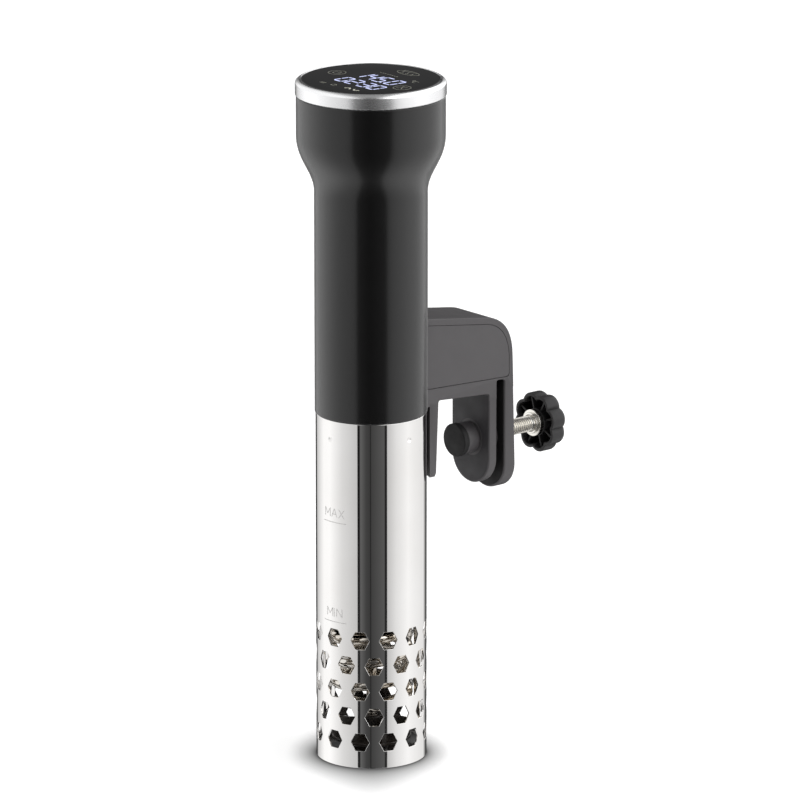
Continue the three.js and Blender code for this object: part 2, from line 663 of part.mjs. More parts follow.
function coilBrace() {
  const length = COIL_RADIUS + UPPER_LEG_RADIUS + 2 * BRACE_OVERHANG;
  const plate = box(length, BRACE_WIDTH, BRACE_BOTTOM, BRACE_TOP)
    .translate((COIL_RADIUS - UPPER_LEG_RADIUS) / 2, 0, 0);
  const hub = disc(BRACE_HUB_RADIUS, BRACE_BOTTOM, BRACE_TOP, MEDIUM_SIDES);
  const hole = (radius, x) =>
    disc(radius + GAP, BRACE_BOTTOM - 1, BRACE_TOP + 1, SMALL_SIDES).translate(x, 0, 0);
  const holes = [
    hole(HEATER_RADIUS, COIL_RADIUS),
    hole(HEATER_RADIUS, -UPPER_LEG_RADIUS),
    hole(TUBE_RADIUS, 0),
  ];
  return cut(join(plate, hub), ...holes).rotateZ(LEG_ANGLE);
}

function probe(radius, bottom) {
  const profile = [[0, bottom], [radius * 0.7, bottom + radius * 0.3], [radius, bottom + radius],
    [radius, LEG_TOP], [0, LEG_TOP]];
  return turned(profile, 12);
}

function buildImmersionParts() {
  const group = new THREE.Group();
  const sealRing = roundRing(SEAL_RING_RADIUS, SEAL_RING_SECTION, RING_GROOVE_HEIGHT, SKIRT_SIDES);
  addPart(group, 'bulkhead', bulkhead(), 'internalPlastic');
  addPart(group, 'bulkhead_seal', sealRing, 'rubber');
  const seal = ring(SEAL_RADIUS, SHAFT_BORE, SEAL_BOTTOM + GAP, SPIGOT_TOP, MEDIUM_SIDES);
  addPart(group, 'shaft_seal', seal, 'rubber');
  const tube = ring(TUBE_RADIUS, TUBE_BORE, TUBE_BOTTOM, SEAL_BOTTOM, MEDIUM_SIDES);
  addPart(group, 'shaft_tube', tube, 'polishedSteel');
  const bearing = ring(TUBE_BORE - GAP, SHAFT_BORE, TUBE_BOTTOM, TUBE_BOTTOM + BEARING_LENGTH,
    MEDIUM_SIDES);
  addPart(group, 'lower_bearing', bearing, 'internalPlastic');
  addPart(group, 'heater_coil', heaterCoil(), 'polishedSteel');
  addPart(group, 'coil_brace', coilBrace(), 'plainSteel');

  const placeProbe = (name, radius, bottom, angle) => {
    const mesh = addPart(group, name, probe(radius, bottom), 'polishedSteel');
    mesh.position.set(PROBE_CIRCLE * Math.cos(angle), PROBE_CIRCLE * Math.sin(angle), 0);
  };
  placeProbe('temp_probe', TEMP_PROBE_RADIUS, TEMP_PROBE_BOTTOM, TEMP_PROBE_ANGLE);
  LEVEL_PROBE_ANGLES.forEach((angle, i) =>
    placeProbe(`level_probe_${i + 1}`, LEVEL_PROBE_RADIUS, LEVEL_PROBE_BOTTOM, angle));
  return group;
}

// ---- Motor ----

function atMotorScrews(makePiece) {
  return aroundCircle(MOTOR_SCREW_COUNT, 90 * DEGREE, (angle, i) =>
    makePiece(MOTOR_SCREW_CIRCLE * Math.cos(angle), MOTOR_SCREW_CIRCLE * Math.sin(angle), i));
}

function motorCan() {
  const bore = MOTOR_RADIUS - MOTOR_WALL;
  const [floor, ceiling] = [MOTOR_BOTTOM + MOTOR_END_THICKNESS, MOTOR_TOP - MOTOR_END_THICKNESS];
  const can = turned([
    [SHAFT_BORE + 1, MOTOR_BOTTOM], [MOTOR_RADIUS, MOTOR_BOTTOM], [MOTOR_RADIUS, MOTOR_TOP],
    [MOTOR_BEARING_SEAT, MOTOR_TOP], [MOTOR_BEARING_SEAT, ceiling], [bore, ceiling], [bore, floor],
    [SHAFT_BORE + 1, floor], [SHAFT_BORE + 1, MOTOR_BOTTOM],
  ], MEDIUM_SIDES);
  const holes = atMotorScrews((x, y) =>
    disc(SMALL_SCREW_HOLE, MOTOR_BOTTOM - 1, floor + 1, 10).translate(x, y, 0));
  return cut(can, ...holes);
}

function motorStator() {
  const core = ring(MOTOR_RADIUS - MOTOR_WALL - GAP, STATOR_BORE, STATOR_BOTTOM, STATOR_TOP, MEDIUM_SIDES);
  const slots = aroundCircle(STATOR_SLOTS, 0, (angle) =>
    box(...STATOR_SLOT_SIZE, STATOR_BOTTOM - 1, STATOR_TOP + 1)
      .translate(STATOR_BORE + 1.6, 0, 0)
      .rotateZ(angle));
  return cut(core, ...slots);
}

function motorPlate() {
  const low = MOTOR_PLATE_TOP - MOTOR_PLATE_THICKNESS;
  const plate = ring(SPIGOT_RADIUS, SHAFT_BORE + 1.5, low, MOTOR_PLATE_TOP, SKIRT_SIDES);
  const holes = atMotorScrews((x, y) =>
    disc(SMALL_SCREW_HOLE, low - 1, MOTOR_PLATE_TOP + 1, 10).translate(x, y, 0));
  return cut(plate, ...holes);
}

// A pan-head screw along +Z with the underside of its head at the origin.
function smallScrew(length) {
  const profile = [[0, -2], [2.2, -2], [2.8, -1.2], [2.8, 0], [SMALL_SCREW_RADIUS, 0],
    [SMALL_SCREW_RADIUS, length - 0.6], [SMALL_SCREW_RADIUS - 0.6, length], [0, length]];
  return turned(profile, 12);
}

function buildMotor() {
  const group = new THREE.Group();
  addPart(group, 'motor_can', motorCan(), 'plainSteel');
  addPart(group, 'motor_stator', motorStator(), 'copper');
  addPart(group, 'motor_plate', motorPlate(), 'plainSteel');
  const topBearing = ring(MOTOR_BEARING_SEAT - GAP, SHAFT_BORE, MOTOR_TOP - MOTOR_END_THICKNESS,
    MOTOR_TOP + 1.5, MEDIUM_SIDES);
  addPart(group, 'motor_bearing', topBearing, 'plainSteel');
  atMotorScrews((x, y, i) => {
    const mesh = addPart(group, `motor_screw_${i + 1}`, smallScrew(MOTOR_SCREW_LENGTH), 'plainSteel');
    mesh.position.set(x, y, MOTOR_PLATE_TOP - MOTOR_PLATE_THICKNESS - GAP);
  });
  return group;
}

// ---- Rotor: shaft, magnet, fan and impeller ----

// Blades round a hub. A wheel with a base plate has it at the lower end of the hub.
function bladedWheel({ hubRadius, tipRadius, low, high, blades, pitch, base }) {
  const middle = (low + high) / 2;
  const reach = tipRadius - hubRadius + BLADE_OVERLAP;
  const vanes = aroundCircle(blades, 0, (angle) =>
    box(reach, BLADE_THICKNESS, low - middle + BLADE_INSET, high - middle - BLADE_INSET)
      .rotateX(pitch)
      .translate(hubRadius - BLADE_OVERLAP + reach / 2, 0, middle)
      .rotateZ(angle));
  const plates = base > 0 ? [disc(tipRadius, low, low + base, MEDIUM_SIDES)] : [];
  const wheel = join(disc(hubRadius, low, high, 20), ...plates, ...vanes);
  return cut(wheel, disc(SHAFT_BORE, low - 1, high + 1, SMALL_SIDES));
}

function hexNut(radius, bore, low, high) {
  return cut(disc(radius, low, high, 6), disc(bore, low - 1, high + 1, SMALL_SIDES));
}

function buildRotor() {
  const group = new THREE.Group();
  const shaft = turned([
    [0, SHAFT_BOTTOM], [SHAFT_RADIUS - SHAFT_EDGE, SHAFT_BOTTOM],
    [SHAFT_RADIUS, SHAFT_BOTTOM + SHAFT_EDGE], [SHAFT_RADIUS, SHAFT_TOP - SHAFT_EDGE],
    [SHAFT_RADIUS - SHAFT_EDGE, SHAFT_TOP], [0, SHAFT_TOP],
  ], SMALL_SIDES);
  const impeller = bladedWheel({
    hubRadius: IMPELLER_HUB_RADIUS, tipRadius: IMPELLER_RADIUS, low: IMPELLER_BOTTOM,
    high: IMPELLER_TOP, blades: IMPELLER_BLADES, pitch: 0, base: IMPELLER_BASE,
  });
  const fan = bladedWheel({
    hubRadius: FAN_HUB_RADIUS, tipRadius: FAN_RADIUS, low: FAN_BOTTOM,
    high: FAN_TOP, blades: FAN_BLADES, pitch: FAN_PITCH, base: 0,
  });
  const magnet = ring(MAGNET_RADIUS, SHAFT_BORE, STATOR_BOTTOM, STATOR_TOP, MEDIUM_SIDES);
  const nut = hexNut(NUT_RADIUS, SHAFT_BORE, NUT_BOTTOM, IMPELLER_BOTTOM - GAP);
  addPart(group, 'drive_shaft', shaft, 'polishedSteel');
  addPart(group, 'motor_magnet', magnet, 'plainSteel');
  addPart(group, 'cooling_fan', fan, 'internalPlastic');
  addPart(group, 'impeller', impeller, 'blackPlastic');
  addPart(group, 'impeller_nut', nut, 'brass');
  return group;
}

// ---- Clamp bracket ----

const armTop = (reach) => ARM_TOP_AT_AXIS + ARM_TOP_SLOPE * reach;
const outerFace = (height) => OUTER_FACE_REACH + OUTER_FACE_SLOPE * (height - OUTER_FACE_HEIGHT);

// Follows the bracket's top and its rounded outer corner, moved inwards by an inset.
function armOutline(inset, start) {
  const side = inset * 0.7;
  const cornerReach = outerFace(ARM_CORNER_END + ARM_CORNER_PULL) - side;
  const shape = new THREE.Shape();
  shape.moveTo(start, armTop(start) - inset);
  shape.lineTo(ARM_CORNER_START, armTop(ARM_CORNER_START) - inset);
  shape.quadraticCurveTo(cornerReach, armTop(cornerReach) - inset,
    outerFace(ARM_CORNER_END) - side, ARM_CORNER_END - inset * 0.5);
  return shape;
}

function bracketSideView() {
  const tongueOverlap = INNER_TONGUE_TOP - 1;
  const shape = armOutline(0, ARM_START);
  shape.lineTo(outerFace(GROOVE_TOP), GROOVE_TOP);
  shape.lineTo(LEG_GROOVE_START, GROOVE_TOP);
  shape.lineTo(LEG_GROOVE_START, tongueOverlap);
  shape.lineTo(LEG_INNER_FACE, tongueOverlap);
  shape.quadraticCurveTo(LEG_INNER_FACE, tongueOverlap + THROAT_FILLET,
    LEG_INNER_FACE - THROAT_FILLET + 0.6, THROAT_TOP_OUTER);
  shape.lineTo(HUG_LEG_TOP_FACE + THROAT_FILLET - 0.6, THROAT_TOP_INNER);
  shape.quadraticCurveTo(HUG_LEG_TOP_FACE + 0.2, THROAT_TOP_INNER + 0.2,
    HUG_LEG_TOP_FACE, THROAT_TOP_INNER - THROAT_FILLET + 0.2);
  shape.lineTo(HUG_LEG_BOTTOM_FACE, HUG_LEG_BOTTOM + 1.6);
  shape.lineTo(HUG_LEG_BOTTOM_FACE - 0.9, HUG_LEG_BOTTOM);
  shape.lineTo(ARM_START, HUG_LEG_BOTTOM);
  return shape;
}

// A plate with a half-round lower end, standing across the leg.
function tongue(start, end, bottom, top) {
  const radius = CLAMP_WIDTH / 2;
  const shape = new THREE.Shape();
  shape.moveTo(radius, top);
  shape.lineTo(-radius, top);
  shape.lineTo(-radius, bottom + radius);
  shape.absarc(0, bottom + radius, radius, Math.PI, 2 * Math.PI);
  return placeRadially(extruded(shape, end - start, 12), CLAMP_SIDE, start, 0);
}

function outerTongue() {
  const top = GROOVE_TOP + 1;
  const foot = outerFace(OUTER_TONGUE_BOTTOM);
  const side = shapeFrom([
    [LEG_GROOVE_END, OUTER_TONGUE_BOTTOM - 1],
    [foot - 2, OUTER_TONGUE_BOTTOM - 1],
    [foot, OUTER_TONGUE_BOTTOM + 3],
    [outerFace(top), top],
    [LEG_GROOVE_END, top],
  ]);
  const plate = tongue(LEG_GROOVE_END, foot + 1, OUTER_TONGUE_BOTTOM, top);
  return keepCommon(plate, extrudedAcross(side, -CLAMP_WIDTH, CLAMP_WIDTH));
}

function panelOutline(clearance) {
  const shape = armOutline(PANEL_INSET - clearance, ARM_START);
  const right = outerFace(ARM_CORNER_END) - 0.7 * (PANEL_INSET - clearance);
  const bottom = PANEL_BOTTOM - clearance;
  shape.lineTo(right, bottom + PANEL_CORNER);
  shape.quadraticCurveTo(right, bottom, right - PANEL_CORNER, bottom);
  shape.lineTo(ARM_START, bottom + PANEL_RISE);
  return shape;
}

function sidePanel(sign) {
  const half = CLAMP_WIDTH / 2;
  const inner = half - PANEL_THICKNESS;
  const [low, high] = sign > 0 ? [inner, half] : [-half, -inner];
  const hug = disc(HUG_RADIUS, HUG_LEG_BOTTOM, armTop(0), LARGE_SIDES);
  return cut(extrudedAcross(panelOutline(0), low, high, 8), hug);
}

function bracketBody() {
  const half = CLAMP_WIDTH / 2;
  const bossEnd = outerFace(CLAMP_SCREW_HEIGHT) - 1;
  const webDepth = LEG_GROOVE_END - LEG_GROOVE_START + 2;
  return join(
    extrudedAcross(bracketSideView(), -half, half, 8),
    tongue(LEG_INNER_FACE, LEG_GROOVE_START, INNER_TONGUE_BOTTOM, INNER_TONGUE_TOP),
    outerTongue(),
    rodAlongY(BUSH_RADIUS + BOSS_WALL, LEG_INNER_FACE + 1, bossEnd, CLAMP_SCREW_HEIGHT, MEDIUM_SIDES),
    box(WEB_WIDTH, webDepth, CLAMP_SCREW_HEIGHT, GROOVE_TOP + 1)
      .translate(0, (LEG_GROOVE_START + LEG_GROOVE_END) / 2, 0),
  );
}

// Recesses for the side panels, and the hollows behind them that keep the wall thickness even.
function bracketPockets() {
  const half = CLAMP_WIDTH / 2;
  const panelDepth = PANEL_THICKNESS + GAP;
  const hollow = shapeFrom(HOLLOW_OUTLINE);
  return [-1, 1].flatMap((sign) => {
    const across = (inner, outer) => (sign > 0 ? [inner, outer] : [-outer, -inner]);
    return [
      extrudedAcross(panelOutline(GAP), ...across(half - panelDepth, half + 1), 8),
      extrudedAcross(hollow, ...across(HOLLOW_WEB, half)),
    ];
  });
}

function clampBracket() {
  const screwHoles = Object.values(BRACKET_SCREW_HEIGHTS).map((height) =>
    rodAlongY(SMALL_SCREW_HOLE, ARM_START, NECK_RADIUS + 10, height, SMALL_SIDES));
  const hugCut = disc(HUG_RADIUS, HUG_LEG_BOTTOM - 1, armTop(0), LARGE_SIDES);
  const bushHole = rodAlongY(BUSH_RADIUS + GAP, LEG_INNER_FACE - 2, OUTER_FACE_REACH + 4,
    CLAMP_SCREW_HEIGHT, MEDIUM_SIDES);
  const hugged = cut(bracketBody(), hugCut, bushHole, ...bracketPockets());
  const seat = box(SEAT_WIDTH, SEAT_DEPTH, SEAT_LOW, SEAT_HIGH).translate(0, SEAT_REACH, 0);
  const seatCut = disc(SEAT_RADIUS, SEAT_LOW - 1, armTop(0), LARGE_SIDES);
  return cut(join(hugged, seat), seatCut, ...screwHoles);
}

function buildBracket() {
  const group = new THREE.Group();
  addPart(group, 'clamp_bracket', clampBracket(), 'clampPlastic');
  addPart(group, 'side_panel_right', sidePanel(1), 'clampPlastic');
  addPart(group, 'side_panel_left', sidePanel(-1), 'clampPlastic');
  for (const [name, height] of Object.entries(BRACKET_SCREW_HEIGHTS)) {
    const mesh = addPart(group, name, smallScrew(BRACKET_SCREW_LENGTH), 'plainSteel');
    mesh.position.set(0, NECK_BORE - 0.6, height);
    mesh.rotation.x = -Math.PI / 2;
  }
  return group;
}

// ---- Clamp screw, knob and pad: local Z is the screw's axis, pointing away from the tube ----

function lobedShape(meanRadius, depth) {
  const count = KNOB_LOBES * 8;
  return shapeFrom(Array.from({ length: count }, (_, i) => {
    const turn = (i * 2 * Math.PI) / count;
    const radius = meanRadius + depth * Math.cos(KNOB_LOBES * turn);
    const angle = KNOB_FIRST_LOBE + turn;
    return [radius * Math.cos(angle), radius * Math.sin(angle)];
  }));
}

function clampKnob() {
  const widest = KNOB_MEAN_RADIUS + KNOB_LOBE_DEPTH + 0.1;
  const blank = extruded(lobedShape(KNOB_MEAN_RADIUS, KNOB_LOBE_DEPTH), KNOB_BACK - KNOB_FACE)
    .translate(0, 0, KNOB_FACE);
  const rounding = turned([
    [0, KNOB_FACE - 1], [widest, KNOB_FACE - 1], [widest, KNOB_BACK - KNOB_BACK_ROUNDING],
    [widest - 1, KNOB_BACK - 1.2], [widest - KNOB_BACK_ROUNDING, KNOB_BACK], [0, KNOB_BACK],
  ], MEDIUM_SIDES);
  const cavity = lobedShape(KNOB_MEAN_RADIUS - KNOB_WALL, KNOB_LOBE_DEPTH * 0.8);
  const hollow = extruded(cavity, KNOB_FLOOR - KNOB_FACE + 1).translate(0, 0, KNOB_FACE - 1);
  const hubStart = COLLAR_END + GAP;
  const hub = disc(KNOB_HUB_RADIUS, hubStart, KNOB_FLOOR + 1, MEDIUM_SIDES);
  const ribStart = KNOB_HUB_RADIUS - 1;
  const ribEnd = KNOB_MEAN_RADIUS - KNOB_WALL + KNOB_LOBE_DEPTH + 0.4;
  const ribs = aroundCircle(KNOB_LOBES, KNOB_FIRST_LOBE, (angle) =>
    box(ribEnd - ribStart, KNOB_RIB_WIDTH, hubStart + 0.6, KNOB_FLOOR + 1)
      .translate((ribStart + ribEnd) / 2, 0, 0)
      .rotateZ(angle));
  const shell = cut(keepCommon(blank, rounding), hollow);
  return cut(join(shell, hub, ...ribs), disc(SCREW_BORE, KNOB_FACE - 2, SCREW_END + GAP, 20));
}

function threadedBush() {
  const [low, high] = [LEG_INNER_FACE + GAP, outerFace(CLAMP_SCREW_HEIGHT) - 0.2];
  return ring(BUSH_RADIUS, SCREW_BORE, low, high, 24);
}

function clampScrew() {
  return turned([
    [0, SCREW_TIP], [SCREW_RADIUS - SCREW_TIP_EDGE, SCREW_TIP], [SCREW_RADIUS, SCREW_TIP + SCREW_TIP_EDGE],
    [SCREW_RADIUS, SCREW_END], [0, SCREW_END],
  ], 20);
}

function screwCollar() {
  return turned([
    [SCREW_BORE, COLLAR_START], [COLLAR_RADIUS, COLLAR_START], [COLLAR_RADIUS, COLLAR_STEP],
    [COLLAR_FLANGE_RADIUS, COLLAR_STEP], [COLLAR_FLANGE_RADIUS, COLLAR_END],
    [SCREW_BORE, COLLAR_END], [SCREW_BORE, COLLAR_START],
  ], MEDIUM_SIDES);
}

function pressurePad() {
  const back = PAD_FACE + PAD_FRONT_THICKNESS;
  return turned([[0, PAD_FACE], [PAD_RADIUS - 0.5, PAD_FACE], [PAD_RADIUS, PAD_FACE + 0.5],
    [PAD_RADIUS, back], [0, back]], MEDIUM_SIDES);
}

function padCore() {
  const front = PAD_FACE + PAD_FRONT_THICKNESS + GAP;
  const radius = PAD_RADIUS - 0.4;
  return turned([[0, front], [radius - 0.8, front], [radius, front + 0.8], [radius, PAD_BACK],
    [SCREW_BORE, PAD_BACK], [SCREW_BORE, SCREW_TIP - GAP], [0, SCREW_TIP - GAP]], MEDIUM_SIDES);
}

function buildScrewAxis() {
  const group = new THREE.Group();
  group.position.z = CLAMP_SCREW_HEIGHT;
  group.rotation.x = -Math.PI / 2;
  addPart(group, 'threaded_bush', threadedBush(), 'brass');
  addPart(group, 'clamp_screw', clampScrew(), 'satinMetal');
  addPart(group, 'screw_collar', screwCollar(), 'satinMetal');
  addPart(group, 'clamp_knob', clampKnob(), 'clampPlastic');
  addPart(group, 'pressure_pad', pressurePad(), 'rubber');
  addPart(group, 'pad_core', padCore(), 'clampPlastic');
  return group;
}

object.add(buildSkirt(), buildHead(), buildElectronics(), buildImmersionParts());
object.add(buildMotor(), buildRotor(), buildBracket(), buildScrewAxis());

export default object;
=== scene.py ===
"""Looks of the immersion circulator. Lengths are in millimetres until a mesh is made."""

import json
from math import ceil, cos, pi, radians, sin, tan

import bmesh
import bpy
import numpy as np
from mathutils import Matrix, Vector


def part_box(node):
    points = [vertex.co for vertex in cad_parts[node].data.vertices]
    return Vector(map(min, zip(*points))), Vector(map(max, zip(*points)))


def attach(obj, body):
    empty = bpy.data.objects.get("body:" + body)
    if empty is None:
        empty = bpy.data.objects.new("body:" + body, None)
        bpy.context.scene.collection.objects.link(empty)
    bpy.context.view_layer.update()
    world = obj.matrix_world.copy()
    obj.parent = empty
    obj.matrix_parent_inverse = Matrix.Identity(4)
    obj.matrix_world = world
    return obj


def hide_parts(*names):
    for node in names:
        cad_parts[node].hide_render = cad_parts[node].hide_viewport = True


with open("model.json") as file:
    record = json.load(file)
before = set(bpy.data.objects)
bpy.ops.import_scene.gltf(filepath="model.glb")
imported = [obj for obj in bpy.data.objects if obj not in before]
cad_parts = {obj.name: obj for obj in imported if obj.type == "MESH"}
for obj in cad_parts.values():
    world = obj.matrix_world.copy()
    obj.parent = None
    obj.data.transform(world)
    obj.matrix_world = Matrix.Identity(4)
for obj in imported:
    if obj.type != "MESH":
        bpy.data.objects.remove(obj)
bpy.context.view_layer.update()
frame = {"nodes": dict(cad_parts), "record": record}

MM = 0.001

# The main view: azimuth and elevation in degrees, distance and offsets in metres.
VIEW_AZIMUTH = 50.0
VIEW_ELEVATION = 15.24
VIEW_DISTANCE = 3.557
VIEW_TARGET = Vector((0, 0, 0.170))
VIEW_RIGHT = 0.01399
VIEW_UP = 0.00856
LENS = 330.0

# Fine sizes that the frame doesn't hold.
TURN = 2 * pi
COLUMNS = 144
HOLE_ROWS = 5
HOLES_PER_ROW = 12
HOLE_FIRST_HEIGHT = 13.1
HOLE_ROW_PITCH = 12.9
HOLE_WIDTH = 9.3
HOLE_HEIGHT = 8.8
HOLE_FIRST_ANGLE = radians(-82)
DIMPLE_ANGLE = radians(-87)
DIMPLE_HEIGHT = 164.3
MARK_ANGLE = radians(-82)
LEG_ANGLE = radians(30)

# Nodes that a finer piece takes over, filled in as the pieces are made.
REPLACED = set()

def span(node):
    """Lowest and highest corner of a node, in millimetres."""
    low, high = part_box(node)
    return Vector(low) / MM, Vector(high) / MM

# ---------------------------------------------------------------- outlines

def bend(start, corner, end, steps):
    """Points of a curve that leaves start towards a corner and comes from it to end."""
    shares = [k / steps for k in range(steps + 1)]
    return [tuple(start * (1 - t) ** 2 + corner * 2 * t * (1 - t) + end * t ** 2) for t in shares]

def rounded(points, radius, steps=5, closed=True):
    """Rounds the corners of an outline. radius is one number, or one for each point."""
    count = len(points)
    radii = radius if isinstance(radius, (list, tuple)) else [radius] * count
    result = []
    for i, corner in enumerate(points):
        here = Vector(corner)
        ends = not closed and i in (0, count - 1)
        if radii[i] <= 0 or ends:
            result.append(tuple(here))
            continue
        before = Vector(points[i - 1]) - here
        after = Vector(points[(i + 1) % count]) - here
        half = before.angle(after) / 2
        reach = min(radii[i] / tan(half), before.length * 0.49, after.length * 0.49)
        start = here + before.normalized() * reach
        end = here + after.normalized() * reach
        result += bend(start, here, end, steps)
    return result

def bezier(a, b, c, d, steps):
    """Points of a cubic curve, both ends included."""
    a, b, c, d = (Vector(p) for p in (a, b, c, d))
    result = []
    for k in range(steps + 1):
        t = k / steps
        s = 1 - t
        result.append(tuple(a * s ** 3 + b * 3 * s * s * t + c * 3 * s * t * t + d * t ** 3))
    return result

def inset(outline, distance):
    """Moves a counter-clockwise outline inwards by a distance."""
    count = len(outline)
    result = []
    for i in range(count):
        here = Vector(outline[i])
        before = (here - Vector(outline[i - 1])).normalized()
        after = (Vector(outline[(i + 1) % count]) - here).normalized()
        normal_before = Vector((-before.y, before.x))
        normal_after = Vector((-after.y, after.x))
        middle = (normal_before + normal_after).normalized()
        stretch = 1 / max(0.35, middle.dot(normal_before))
        result.append(tuple(here + middle * distance * stretch))
    return result

def counter_clockwise(outline):
    area = sum(a[0] * b[1] - b[0] * a[1] for a, b in zip(outline, outline[1:] + outline[:1]))
    return list(outline) if area > 0 else list(outline)[::-1]

# ---------------------------------------------------------------- meshes

def mesh_from(name, points, faces, sharp=32):
    """A mesh in metres with merged points, outward faces and smooth shading up to a sharp angle."""
    mesh = bpy.data.meshes.new(name)
    shaped = bmesh.new()
    made = [shaped.verts.new([c * MM for c in p]) for p in points]
    for face in faces:
        corners = [made[i] for i in face]
        if len(set(corners)) > 2:
            shaped.faces.new(corners)
    bmesh.ops.remove_doubles(shaped, verts=shaped.verts, dist=1e-7)
    bmesh.ops.dissolve_degenerate(shaped, edges=shaped.edges, dist=1e-8)
    bmesh.ops.recalc_face_normals(shaped, faces=shaped.faces)
    shaped.to_mesh(mesh)
    shaped.free()
    shade(mesh, sharp)
    return mesh

def shade(mesh, sharp=32):
    mesh.polygons.foreach_set("use_smooth", [True] * len(mesh.polygons))
    mesh.set_sharp_from_angle(angle=radians(sharp))

def moved(mesh, matrix):
    """Places a mesh by a matrix whose translation is in millimetres."""
    in_metres = matrix.copy()
    in_metres.translation = matrix.translation * MM
    mesh.transform(in_metres)
    return mesh

def lathe(name, profile, sides=128, sharp=32):
    """Turns a profile of (radius, height) about Z. It starts and ends on the axis, or closes on itself."""
    rows = len(profile)
    points = []
    for k in range(sides):
        angle = TURN * k / sides
        points += [(r * cos(angle), r * sin(angle), z) for r, z in profile]
    on_axis = profile[0][0] < 1e-9 and profile[-1][0] < 1e-9
    faces = []
    for k in range(sides):
        a, b = k * rows, (k + 1) % sides * rows
        for i in range(rows - 1 if on_axis else rows):
            j = (i + 1) % rows
            faces.append((a + i, b + i, b + j, a + j))
    return mesh_from(name, points, faces, sharp)

def loft(name, loops, sharp=32):
    """Joins loops of equal length and caps the first and last."""
    size = len(loops[0])
    points = [p for loop in loops for p in loop]
    faces = []
    for row in range(len(loops) - 1):
        a, b = row * size, (row + 1) * size
        for i in range(size):
            j = (i + 1) % size
            faces.append((a + i, a + j, b + j, b + i))
    faces.append(tuple(range(size)))
    faces.append(tuple((len(loops) - 1) * size + i for i in range(size)))
    return mesh_from(name, points, faces, sharp)

def prism(name, outline, low, high, edge=0.0, steps=3, sharp=32):
    """Extrudes an outline from low to high with rounded edges of radius edge."""
    outline = counter_clockwise(outline)
    if edge <= 0:
        return loft(name, [[(x, y, z) for x, y in outline] for z in (low, high)], sharp)
    loops = []
    for end, sign in ((low, 1), (high, -1)):
        angles = [pi / 2 * k / steps for k in range(steps + 1)]
        if sign < 0:
            angles.reverse()
        for angle in angles:
            ring = inset(outline, edge * (1 - sin(angle)))
            loops.append([(x, y, end + sign * edge * (1 - cos(angle))) for x, y in ring])
    return loft(name, loops, sharp)

def sweep(name, path, radius, sides=24, sharp=40):
    """A round tube along points, turned as little as possible from step to step."""
    path = [Vector(p) for p in path]
    count = len(path)
    tangents = [(path[min(i + 1, count - 1)] - path[max(i - 1, 0)]).normalized() for i in range(count)]
    side = tangents[0].orthogonal().normalized()
    loops = []
    for point, tangent in zip(path, tangents):
        side = (side - tangent * side.dot(tangent)).normalized()
        other = tangent.cross(side)
        loops.append([tuple(point + (side * cos(TURN * k / sides) + other * sin(TURN * k / sides)) * radius)
                      for k in range(sides)])
    return loft(name, loops, sharp)

def combined(name, operation, base, tools, sharp=32):
    """Joins (UNION) or cuts (DIFFERENCE) meshes exactly and returns one mesh."""
    holder = bpy.data.objects.new(name, base)
    bpy.context.scene.collection.objects.link(holder)
    helpers = []
    for tool in tools:
        helper = bpy.data.objects.new("helper", tool)
        bpy.context.scene.collection.objects.link(helper)
        helpers.append(helper)
        modifier = holder.modifiers.new("cut", "BOOLEAN")
        modifier.operation = operation
        modifier.solver = "EXACT"
        modifier.object = helper
    bpy.context.view_layer.update()
    graph = bpy.context.evaluated_depsgraph_get()
    result = bpy.data.meshes.new_from_object(holder.evaluated_get(graph))
    for used in [holder, *helpers]:
        bpy.data.objects.remove(used)
    shade(result, sharp)
    return result

def add_piece(name, mesh, material, body, replaced=(), flat_faces=False):
    """Makes a mesh a visible piece of the object that rides on a body."""
    mesh.materials.clear()
    mesh.materials.append(material)
    piece = bpy.data.objects.new(name, mesh)
    bpy.context.scene.collection.objects.link(piece)
    if flat_faces:
        modifier = piece.modifiers.new("flat faces", "WEIGHTED_NORMAL")
        modifier.keep_sharp = True
        modifier.weight = 80
    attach(piece, body)
    if replaced:
        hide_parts(*replaced)
    return piece

def stand_in(name, mesh, body, node, slot, flat_faces=False):
    """A finer piece in place of a node, in the finish of that node's slot."""
    REPLACED.add(node)
    return add_piece(name, mesh, FINISHES[slot], body, [node], flat_faces)

def along_y(height):
    """Turns a piece made about Z so that its axis is the clamp screw's, pointing away from the tube."""
    return Matrix.Translation((0, 0, height)) @ Matrix.Rotation(-pi / 2, 4, "X")

def across_x():
    """Turns an outline of (Y, Z) extruded along Z so that it is extruded along X."""
    return Matrix(((0, 0, 1, 0), (1, 0, 0, 0), (0, 1, 0, 0), (0, 0, 0, 1)))

def circle(radius, height, sides):
    """Points round a circle about Z."""
    return [(radius * cos(TURN * k / sides), radius * sin(TURN * k / sides), height) for k in range(sides)]

def standing_cylinder(name, radius, low, high, sides=160):
    """A plain cutting cylinder about Z."""
    return lathe(name, [(0, low), (radius, low), (radius, high), (0, high)], sides)

def cylinder_y(name, radius, start, end, height, sides=32):
    """A plain cutting cylinder along Y."""
    return moved(standing_cylinder(name, radius, start, end, sides), along_y(height))

